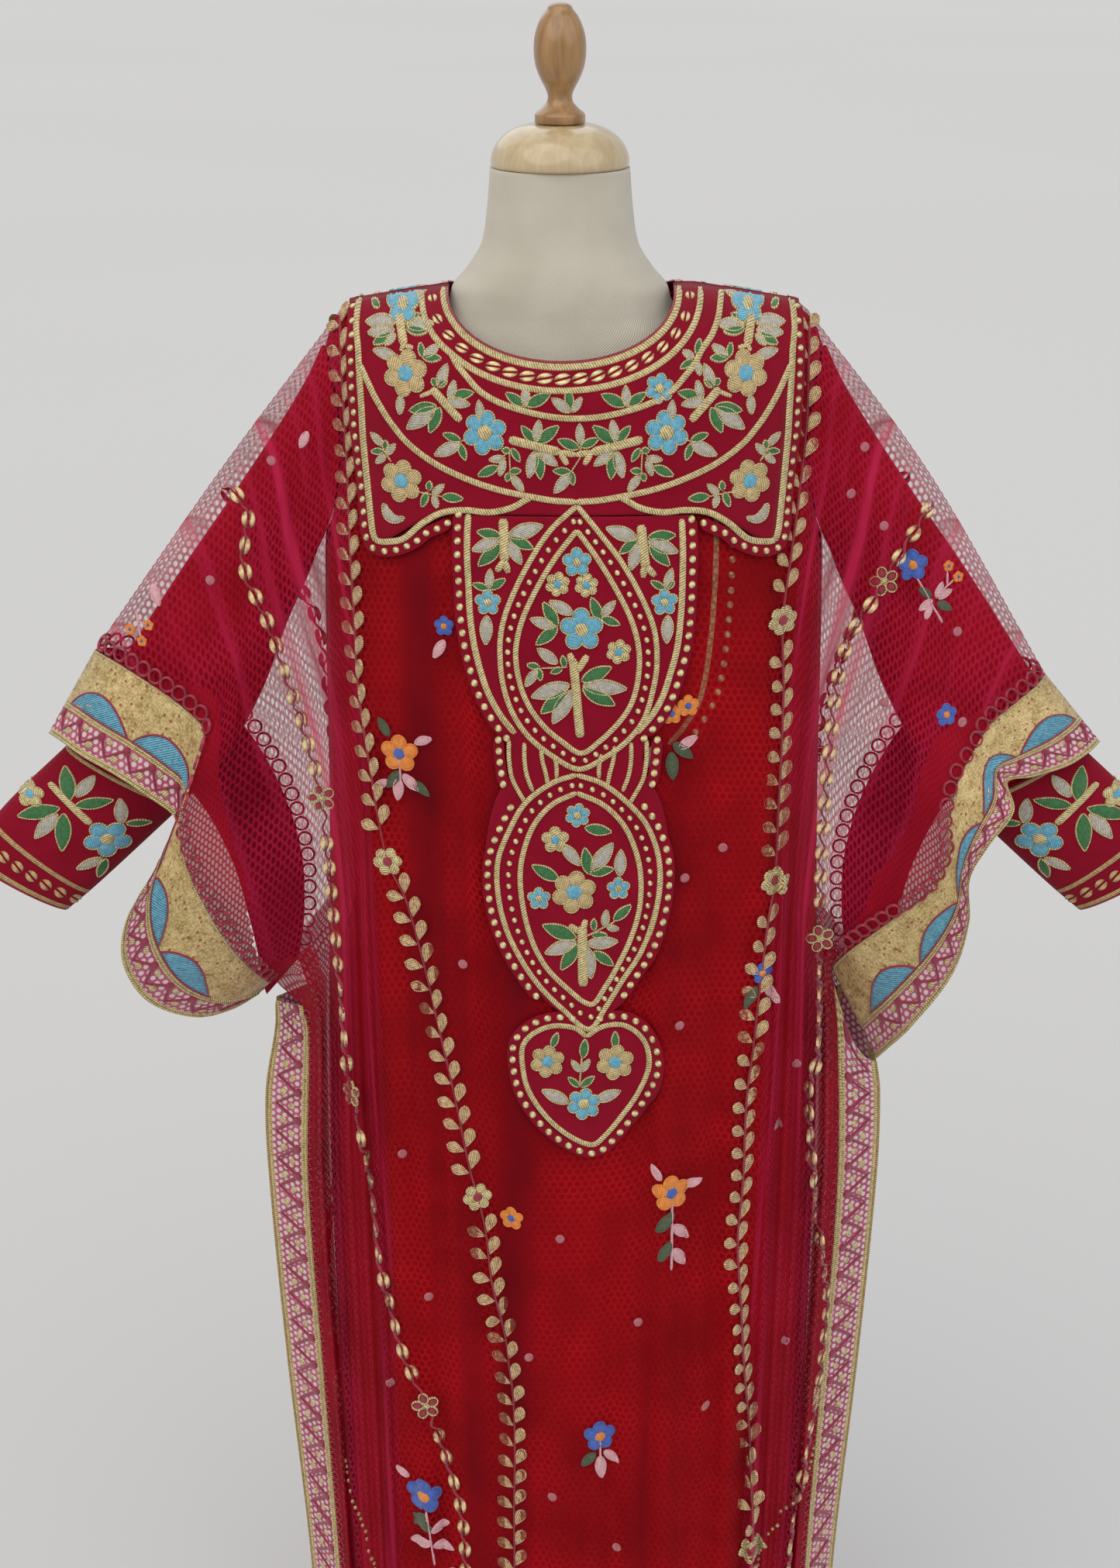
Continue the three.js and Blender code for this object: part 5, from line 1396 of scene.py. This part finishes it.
# gold rings and the row of discs, by distance outside the neckline
NECK_RINGS, NECK_DISCS = {-1: (4.6, 22.5), 1: (7, 27, 50)}, {-1: 13.6, 1: 17}


def both(rows, about):
    """One path over both hands of the yoke."""
    return rows + mirrored(rows, about)[::-1][1:]


def neck_path(side, off):
    """Round the neckline, off outside its edge."""
    angle = np.radians(np.linspace(-89.2, 89.2, 62))
    x = NECK_X + (NECK_HALF + off) * np.sin(angle)
    drop = (NECK_FRONT if side < 0 else NECK_BACK) + off
    return np.stack([x, ridge_z(x, YOKE_EASE) - drop * np.cos(angle)], -1)


def yoke_work(side):
    work, surface = Embroidery(), yoke_form(side)
    about, low = YOKE_MIDDLE, BACK_LINE if side > 0 else 0
    rings = [neck_path(side, off) for off in NECK_RINGS[side]]
    discs = neck_path(side, NECK_DISCS[side])
    if side < 0:
        rings += [curve(both(NECK_RING, about) + NECK_RING_END)]
        beans = [(x, z, t + 0.25, (7.4 - abs(x + 9) / 70, 4.9 - abs(x + 9) / 120, 3.2))
                 for x, z, t in spaced(discs, 14.4, 5)]
    else:
        rings[-1] = rings[-1][6:-6]
        beans = [(x, z, t, (6.4, 4.0, 3.2)) for x, z, t in spaced(discs, 14.2, 6)]
    for path in rings:
        work.cord(path, *BROAD_CORD, GOLD, 3)
    work.cord(neck_path(side, 1.4), 2.2, 1.2, CRIMSON)
    for hand in (1, -1):
        for rows in (EDGE, SWEEP):
            path = rows if hand > 0 else mirrored(rows, about)
            if side > 0:
                path = [p for p in path if p[1] > low] if rows is EDGE else [
                    (x, z + 12) for x, z in path]
            work.cord(curve(path), *BROAD_CORD, GOLD, 3)
    if side > 0:
        straight = [(x, low) for x in (-170, -80, 0, 80, 172)]
        work.cord(curve(straight), *BROAD_CORD, GOLD, 3)
    leaves = [r for r in YOKE_LEAVES if side < 0 or min(r[2], r[4]) > low + 10]
    stems = [r for r in YOKE_STEMS if side < 0 or min(r[1], r[3]) > low + 10]
    flowers = [r for r in YOKE_FLOWERS if side < 0 or r[2] > 1340]
    if side > 0:
        leaves += [(kind, x + x0, z0, x + x1, z1) for kind, x0, z0, x1, z1 in (
            ("g", 3, 1424, 15, 1430), ("s", -3, 1424, -15, 1430), ("s", 0, 1421, 0, 1409))
                   for x in (-72, -42, -10)]
    work.sprigs(leaves, stems, flowers, about)
    if side < 0:
        work.flower("b", 70, 1394, 12.5, 6)
        for kind, *ends in (("g", 98, 1415, 87, 1409), ("s", 99, 1417, 89, 1422),
                            ("g", 101, 1419, 104, 1431), ("s", 101, 1414, 104, 1403)):
            work.leaf(SILKS[kind], *ends)
        for hand in (1, -1):
            path = CRESCENT if hand > 0 else mirrored(CRESCENT, about)
            work.pad(path, PAD_LIFT, SILVER)
            work.cord(curve(path[:-1], CORD_CORNER, closed=True), 1.6, 1.5, GOLD)
    beads = []
    for hand in (1, -1):
        edge = [(x + 2.5, z) for x, z in BEADS if z > low]
        edge = edge if hand > 0 else mirrored(edge, about)
        work.cord(curve(edge, 4), *BEAD_GROUND, GROUND)
        beads += [(x, z, t, (3.1, 2.8, 1.7)) for x, z, t in spaced(edge, 10.4, 2)]
    work.lay(f"yoke_{SIDES[side]}_embroidery", surface, 0.1, "embroidered_ground")
    repeat(f"yoke_{SIDES[side]}_edge_beads", "bead", beads, surface, GOLD, 0.6)
    repeat(f"yoke_{SIDES[side]}_neck_discs", "bean", beans, surface, GOLD, 0.1)


def between(outer, inner, pitch):
    """Spots half way between two outlines that start and end together."""
    a, b = curve(outer, 1.0), curve(inner, 1.0)
    t = np.linspace(0, 1, 300)
    pick = [np.stack([np.interp(t, np.linspace(0, 1, len(c)), c[:, k]) for k in (0, 1)], -1)
            for c in (a, b)]
    return spaced((pick[0] + pick[1]) / 2, pitch, 4)


def outset(path, by):
    """A path by so much further from the front piece's middle."""
    path = curve(path, 2)
    across = leftwards(path)
    return path + across * by * np.sign((across[:, 0] * (path[:, 0] - 3)).sum())


def plastron_work():
    """Two pointed ovals and a heart, framed and beaded."""
    work, surface, about = Embroidery(), face_of(plastron_form, 1), PLASTRON_MIDDLE
    for path in (FRAME_L, FRAME_R):
        work.cord(curve(path), 5.8, 1.9, GOLD, 3)
    for path in (OVAL_1, OVAL_1_IN, OVAL_2, OVAL_2_IN, HEART):
        work.cord(curve(path), *MIDDLE_CORD, GOLD, 3)
    for bar in BARS:
        for path in (bar, mirrored(bar, about + 1)):
            work.cord(curve(path), 4.0, 1.7, GOLD, 2)
    for rows in ((OVAL_1_LEAVES, OVAL_1_STEMS, OVAL_1_FLOWERS),
                 (OVAL_2_LEAVES, OVAL_2_STEMS, OVAL_2_FLOWERS),
                 (HEART_LEAVES, HEART_STEMS, HEART_FLOWERS)):
        work.sprigs(*rows)
    ring, heart, left, right = (outset(path, BEADS_OUT) for path in (
        OVAL_2, HEART, FRAME_L, FRAME_R))
    ring = ring[(ring[:, 1] > 872) & (ring[:, 1] < 1046)]
    waist = [(-64, 1104), (-63, 1085), (-60, 1063)]
    edges = [left, right, ring[ring[:, 0] < 3], ring[ring[:, 0] > 3],
             heart[(np.abs(heart[:, 0] - 11) > 10) | (heart[:, 1] < 790)],
             np.array(waist, float), np.array(mirrored(waist, about + 1), float)]
    for path in edges:
        work.cord(curve(path[::4] if len(path) > 9 else path, 4), *BEAD_GROUND, GROUND)
    work.lay("plastron_embroidery", surface, 0.1, "embroidered_ground")
    beads = [(x, z, 0, (2.4, 2.4, 1.5)) for outer, inner in (
        (OVAL_1, OVAL_1_IN), (OVAL_2, OVAL_2_IN)) for x, z, _ in between(outer, inner, 10.4)]
    for path in edges:
        beads += [(x, z, t, (3.4, 2.9, 1.7)) for x, z, t in spaced(path, 11, 1)]
    repeat("plastron_beads", "bead", beads, surface, GOLD, 0.6)


def robe_frame_work():
    """The robe's own gold line, seen through the net beside the front piece."""
    work = Embroidery()

    def form(x, z):
        return placed(x, -robe_out(x, z, -1), z)
    surface = face_of(form, 1)
    work.cord(curve(ROBE_FRAME), 5.0, 1.0, OLD_GOLD, 3)
    work.lay("robe_frame_line", surface, 0.1, "embroidered_ground")
    repeat("robe_frame_beads", "bead", [(x + 14, z, 0, (3.2, 3.2, 1.2)) for x, z, _ in spaced(
        ROBE_FRAME, 13)], surface, OLD_GOLD, 0.1)


def cuff_work(hand, back):
    """Sprays of leaves and two flowers on a cuff, gold lines and a row of discs."""
    work, surface = Embroidery(), cuff_form(hand, back)
    across = np.linspace(0.5, CUFF_ACROSS - 0.5, 40)
    for q, width in ((5.0, 4.4), (115, 4.6), (143.5, 4.6)):
        work.cord(np.stack([across, np.full(40, q)], -1), width, 1.5, OLD_GOLD, 3)
    work.cord(np.stack([across, np.full(40, 146.9)], -1), 1.8, 1.4, CRIMSON)
    work.cord(curve([(12, 45), (38, 50), (63, 55)]), 7.4, 2.2, GOLD, 3)
    for kind, *ends in CUFF_LEAVES:
        work.leaf(SILKS[kind], *ends, share=0.36)
    work.flower("b", 83, 59, 19, 5, 0.9)
    work.flower("y", 8, 68, 13, 5, 0.2)
    name = named("cuff", 1 if back else -1, hand)
    work.lay(name + "_embroidery", surface, 0.1, "embroidered_ground")
    repeat(name + "_discs", "bean",
           [(x, 129, 0.25, (5.9, 5.4, 3.0)) for x in np.arange(12, 108, 15.6)], surface,
           OLD_GOLD, 0.1)


def trim_lines(work, length, step, lines):
    """Cords along a trim: distance in from the net's edge, width, height and thread."""
    run = np.arange(1, length - 1, step)
    for t, width, height, thread in lines:
        work.cord(np.stack([run, np.full(len(run), t)], -1), width, height, thread)


def zigzag(work, starts, over, low, high, width, dots):
    """A cord that starts low, is high so much further along, and so on, with dots beside
    each low turn: along, in, radius, corners, height, squash and thread."""
    spots = [spot for s in starts for spot in ((s, low), (s + over, high))]
    path = np.vstack([np.linspace(a, b, 5)[:-1] for a, b in zip(spots[:-1], spots[1:])])
    work.cord(path, width, 1.5, MAROON)
    for s in starts:
        for along_by, in_by, radius, corners, height, squash, thread in dots:
            work.pad(circle(radius, corners, s + along_by, low + in_by, squash), height, thread)


def lay_on_trim(work, kind, side, hand, surface, loops, lift):
    """Lays a trim's work, and the row of loops beside it on the net: where they begin, how
    far along they stop, their pitch, their distance from the edge and their size."""
    name = named(kind, side, hand)
    start, stop, pitch, beside, size = loops
    work.lay(name + "_embroidery", surface, 0.15, "gold_border")
    repeat(name + "_loops", "ring", [(s, beside, 0, size) for s in np.arange(start, stop, pitch)],
           surface, CRIMSON, lift)


def border_work(hand, side):
    """Down a sleeve border: half-round leaves, a zigzag strip and gold edges."""
    work = Embroidery()
    surface, length = trim_form(hand, side, "sleeve_border")
    trim_lines(work, length, 3.0, [
        (1.0, 1.8, 1.2, GOLD), (49.6, 2.4, 1.5, GOLD), (52.4, 2.2, 1.4, GOLD),
        (74.6, 2.2, 1.4, GOLD), (77.4, 2.6, 1.6, GOLD)])
    for start in np.arange(10.0, length - 72, 76.0):
        t = np.linspace(0, 1, 13)
        arch = np.stack([start + 70 * t, 47.4 - 18.5 * np.sin(np.pi * t ** 0.85) ** 0.9], -1)
        outline = np.vstack([arch, [(start + 70 * f, 47.8) for f in (0.75, 0.5, 0.25)]])
        work.pad(outline, 0.9, TEAL, 0.4)
        work.cord(curve(arch, 2.5), 1.9, 1.5, MAROON)
        work.cord(curve([(start - 3, 47.8), (start + 35, 48.2), (start + 73, 47.8)], 3), 1.8,
                  1.4, MAROON)
    starts = np.arange(6, length - 14.6, 26.4)
    zigzag(work, starts, 10.6, 56.5, 70.5, 2.6, [
        (0, 0.6, 3.6, 10, 1.8, 1.0, MAROON), (19, 11.5, 4.2, 9, 0.8, 0.72, GOLD),
        (9, 1.2, 3.6, 9, 0.8, 0.72, GOLD)])
    lay_on_trim(work, "sleeve_border", side, hand, surface, (9, length - 8, 13.8, -7.5, 6.2), 0.5)


def band_work(hand, side):
    """Down a side band: a zigzag with dots between gold lines."""
    work = Embroidery()
    surface, length = trim_form(hand, side, "side_band")
    trim_lines(work, length, 4.0, [
        (1.3, 2.0, 1.4, GOLD), (4.6, 2.2, 1.4, GOLD), (37.2, 2.2, 1.4, GOLD),
        (40.4, 2.2, 1.4, OLD_GOLD)])
    starts = 4 + 28.0 * np.arange(int((length - 2) / 28))
    zigzag(work, starts, 13, 10.5, 31, 3.0, [
        (0, 0, 4.2, 10, 1.8, 1.0, MAROON), (1, 14, 4.0, 9, 0.8, 0.8, GOLD),
        (14, 5, 3.6, 9, 0.8, 0.8, GOLD)])
    lay_on_trim(work, "side_band", side, hand, surface, (7, length - 6, 10.5, -5.2, 4.2), 0.4)


def far_from(spots, flowers, gap):
    """The spots that leave room for flowers."""
    return [s for s in spots if all(math.hypot(s[0] - x, s[1] - z) > gap for x, z in flowers)]


def chain_work(side, surface):
    """Gold leaves and discs down the net, and the sprigs and dots between them."""
    leaves, discs, leaf_flowers, disc_flowers, scallops = [], [], [], [], []
    stem = Embroidery()
    flip = -side

    def turned_over(rows):
        return [(x * flip, z) for x, z in rows]

    for hand in (-1, 1):
        flowers = turned_over(LEAF_FLOWERS[hand])
        top = 1440 if side < 0 else 1425
        path = [(x, min(z, top)) for x, z in turned_over(LEAF_CHAINS[hand])]
        spots = spaced(path, 21.2, 6)
        leaves += [(x, z, t + math.pi, 1.0) for x, z, t in far_from(spots, flowers, 20)]
        stem.cord(curve(path, 4), 1.5, 1.3, CRIMSON)
        leaf_flowers += flowers
        flowers = turned_over(DISC_FLOWERS[hand])
        path = turned_over(DISC_CHAINS[hand])
        spots = spaced(path, 22.5, 8)
        discs += [(x, z, t, (8.2, 6.2, 4.5)) for x, z, t in far_from(spots, flowers, 19)]
        smooth_path = curve(path, 3)
        sway = 2.4 * np.sin(np.arange(len(smooth_path)) * 3 / 22.5 * 2 * np.pi)
        stem.cord(smooth_path + leftwards(smooth_path) * sway[:, None], 1.7, 2.0, CRIMSON)
        disc_flowers += flowers
    name = SIDES[side]
    for x, z in leaf_flowers:
        stem.flower("c", x, z, 13, 6, 0.2, 0.8)
    if side < 0:
        stem.sprigs(NET_LEAVES, NET_STEMS, NET_FLOWERS, stem_thread=PINK)
    else:
        stem.sprigs([(kind, -x0, z0, -x1, z1) for kind, x0, z0, x1, z1 in NET_LEAVES
                     if z0 < 1240 and abs(x0) < 330],
                    [], [(kind, -x, z, r, petals) for kind, x, z, r, petals in NET_FLOWERS
                         if z < 1220 and abs(x) < 325])
    for x, z in NET_DOTS:
        if side < 0 or abs(x) < 200:
            stem.pad(circle(4.2, 10, flip * x, z), 0.6, DUSK)
    for rows in HEM_ARCS:
        scallops += [(x, z, t, 2.0) for x, z, t in spaced(turned_over(rows), 6.4)]
    repeat(f"net_{name}_hem_scallops", "bead", scallops, surface, OLD_GOLD)
    stem.lay(f"net_{name}_sprigs", surface, 0.25, "embroidered_ground")
    repeat(f"net_{name}_leaf_chains", "leaf_pair", leaves, surface, CHAIN)
    repeat(f"net_{name}_disc_chains", "bean", discs, surface, CHAIN)
    spots = [(x, z, 0.3, 1.05) for x, z in disc_flowers]
    repeat(f"net_{name}_loop_flowers", "loop_flower", spots, surface, GOLD)
    repeat(f"net_{name}_loop_fillings", "loop_centre", spots, surface, CRIMSON)


for side in (-1, 1):
    yoke_work(side)
    chain_work(side, net_form(side))
    for hand in (-1, 1):
        border_work(hand, side)
        band_work(hand, side)
        cuff_work(hand, side > 0)
plastron_work()
robe_frame_work()
for motif in MOTIFS.values():
    bpy.data.objects.remove(motif)

# ------------------------------------ dress form
# z, half width, front, back
FORM = table((1563, 58.8, 54.5, 52), (1530, 61.5, 56, 50), (1500, 66.5, 57, 48),
    (1480, 78.5, 60, 47), (1466, 90.5, 61, 46), (1452, 95, 61, 45), (1440, 103, 61, 46),
    (1425, 126, 63, 49), (1402, 156, 69, 57), (1375, 170, 79, 68), (1335, 174, 91, 78),
    (1290, 175, 103, 85), (1240, 172, 113, 86), (1200, 164, 112, 80), (1130, 142, 96, 68),
    (1060, 126, 84, 62), (1000, 136, 90, 74), (930, 158, 100, 90), (870, 166, 104, 94),
    (850, 162, 100, 90))
FORM_CORNER = 2.25
CAP_RIM, CAP_Z, CAP_TOP, CAP_BOSS = 58.5, 1563.3, 1598.5, 21.0
FINIAL = table((0, 21.3), (7, 21.3), (8.4, 20.6), (10, 18.4), (13.9, 14.1), (17, 11.4),
    (20.5, 10.3), (24.2, 10.6), (27.3, 11.8), (30.3, 13.2), (36.5, 16.6), (46.7, 20.4), (60, 22),
    (73.4, 20.6), (85.7, 15.8), (92.9, 10.4))
FINIAL_TOP, TIP_Z, TIP_R, TIP_RISE = 98.0, 92.9, 10.4, 5.1
BASE_R, BASE_Z, BASE_ROUND, POLE_R, POLE_TOP, SEAM = 150.0, 22.0, 9.0, 15.0, 849.7, 0.3
FORM_TOP, FORM_FOOT, FORM_AROUND = 1563.0, 850.0, 550.0


def stand_part(piece, node):
    """Declares a hard part of the stand: it rides on the one body."""
    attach(piece, "root")
    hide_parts(node)


def turned(name, profile, material, sides=96):
    """A turned piece: a profile of (radius, height) spun round the form's axis."""
    profile = np.array(profile, float)
    rings, ends = profile[1:-1], profile[[0, -1], 1]
    angle = turns(sides)
    points = [[r * c, r * s, z] for r, z in rings for c, s in zip(np.cos(angle), np.sin(angle))]
    low, high, last = len(points), len(points) + 1, len(points) - sides
    faces = []
    for k in range(sides):
        n = (k + 1) % sides
        faces += [[i + k, i + n, i + sides + n, i + sides + k] for i in range(0, last, sides)]
        faces += [[low, n, k], [high, last + k, last + n]]
    return new_piece(name, points + [[0, 0, z] for z in ends], faces, [material])


def padded_torso():
    """The limbless body, superelliptical across, closed above and below."""
    z = np.concatenate([np.linspace(FORM_TOP, 1400, 60), np.linspace(1400, FORM_FOOT, 60)[1:]])
    row = along(FORM, z)
    c, s = np.cos(turns(96)), np.sin(turns(96))
    size = (np.abs(c) ** FORM_CORNER + np.abs(s) ** FORM_CORNER) ** (-1 / FORM_CORNER)
    deep = np.where(s[None] < 0, row[:, 1:2], row[:, 2:3])
    points = np.stack([row[:, :1] * c * size, deep * s * size,
                       np.broadcast_to(z[:, None], (len(z), 96))], -1)
    around = np.broadcast_to(np.linspace(0, FORM_AROUND, 96)[None], points.shape[:2])
    uv = np.stack([around, FORM_TOP - points[..., 2]], -1)
    piece = cloth_mesh("form_torso_padded", points, [CANVAS], False, closed=True, uv=uv)
    solid = bmesh.new()
    solid.from_mesh(piece.data)
    bmesh.ops.holes_fill(solid, edges=[e for e in solid.edges if e.is_boundary])
    bmesh.ops.recalc_face_normals(solid, faces=solid.faces)
    solid.to_mesh(piece.data)
    solid.free()
    stand_part(piece, "form_torso")


def neck_cap():
    """A shallow wooden dome with an eased rim."""
    rise = CAP_TOP - CAP_Z - 4
    outline = [(0, CAP_Z), (CAP_RIM - 2.5, CAP_Z), (CAP_RIM - 0.9, CAP_Z + 0.8),
               (CAP_RIM - 0.2, CAP_Z + 2.2)]
    outline += [(CAP_BOSS + (CAP_RIM - CAP_BOSS) * math.cos(t),
                 CAP_Z + 4 + rise * math.sin(t) ** 1.05)
                for t in np.linspace(0, math.pi / 2, 26)]
    outline += [(0, CAP_TOP)]
    stand_part(turned("form_cap_wood", outline, CAP_WOOD), "form_cap")


def finial():
    """A turned knob: a foot, a waist and a round head."""
    low = CAP_TOP + SEAM
    height = np.linspace(9, TIP_Z, 44)
    outline = [(0, 0), (20.8, 0.4), (21.3, 1.2), (21.3, 6.6), (21.0, 7.6), (20.4, 8.2)]
    outline += list(zip(along(FINIAL, height)[:, 0], height))
    outline += [(TIP_R * math.cos(t), TIP_Z + TIP_RISE * math.sin(t))
                for t in np.radians((14, 28, 44, 60, 76))] + [(0, FINIAL_TOP)]
    piece = turned("form_finial_wood", [(r, low + h) for r, h in outline], FINIAL_WOOD, 64)
    stand_part(piece, "form_finial")


def stand():
    """A round plate with a rounded edge, and a steel pole on it."""
    plate = [(0, 0), (BASE_R - 3, 0), (BASE_R - 0.8, 0.8), (BASE_R, 3)]
    plate += [(BASE_R + BASE_ROUND * (math.cos(t) - 1), BASE_Z + BASE_ROUND * (math.sin(t) - 1))
              for t in np.linspace(0, math.pi / 2, 10)]
    plate += [(POLE_R + 2, BASE_Z), (0, BASE_Z)]
    stand_part(turned("form_base_plate", plate, BASE_WOOD, 128), "form_base")
    pole = [(0, BASE_Z + SEAM), (POLE_R - 0.5, BASE_Z + SEAM), (POLE_R, BASE_Z + 0.8),
            (POLE_R, 700), (POLE_R, POLE_TOP - 0.5), (POLE_R - 0.5, POLE_TOP), (0, POLE_TOP)]
    stand_part(turned("form_pole_tube", pole, STEEL, 48), "form_pole")


padded_torso()
neck_cap()
finial()
stand()

# ------------------------------------ floor and light
def studio():
    """A pale floor, a soft sky and three soft suns."""
    ground, tree, shader, body, _ = begin("pale_floor", Roughness=0.95, Specular_IOR_Level=0.1)
    haze = add(tree, NOISE, {"Scale": 0.2, "Detail": 1.0}, Vector=body)
    finish(tree, shader, haze, [(0.3, "#C7C7C7"), (0.7, "#C9C9C9")])
    far = 45000.0
    corners = [(-far, -far, -1), (far, -far, -1), (far, far, -1), (-far, far, -1)]
    new_piece("studio_floor", corners, [(0, 1, 2, 3)], [ground])

    world = bpy.data.worlds.new("studio")
    world.use_nodes = True
    world.node_tree.nodes["Background"].inputs[0].default_value = colour("#F4F5F7")
    world.node_tree.nodes["Background"].inputs[1].default_value = 0.62
    bpy.context.scene.world = world

    def sun(name, turn, strength, spread, tint):
        lamp = bpy.data.lights.new(name, "SUN")
        lamp.energy, lamp.angle, lamp.color = strength, math.radians(spread), colour(tint)[:3]
        light = bpy.data.objects.new(name, lamp)
        light.rotation_euler = [math.radians(t) for t in turn]
        bpy.context.collection.objects.link(light)

    sun("key", (44, 0, -30), 1.5, 70, "#FFF9F0")
    sun("fill", (58, 0, 48), 0.7, 60, "#F4F7FF")
    sun("back", (-50, 0, 20), 0.5, 60, "#FFFFFF")


studio()
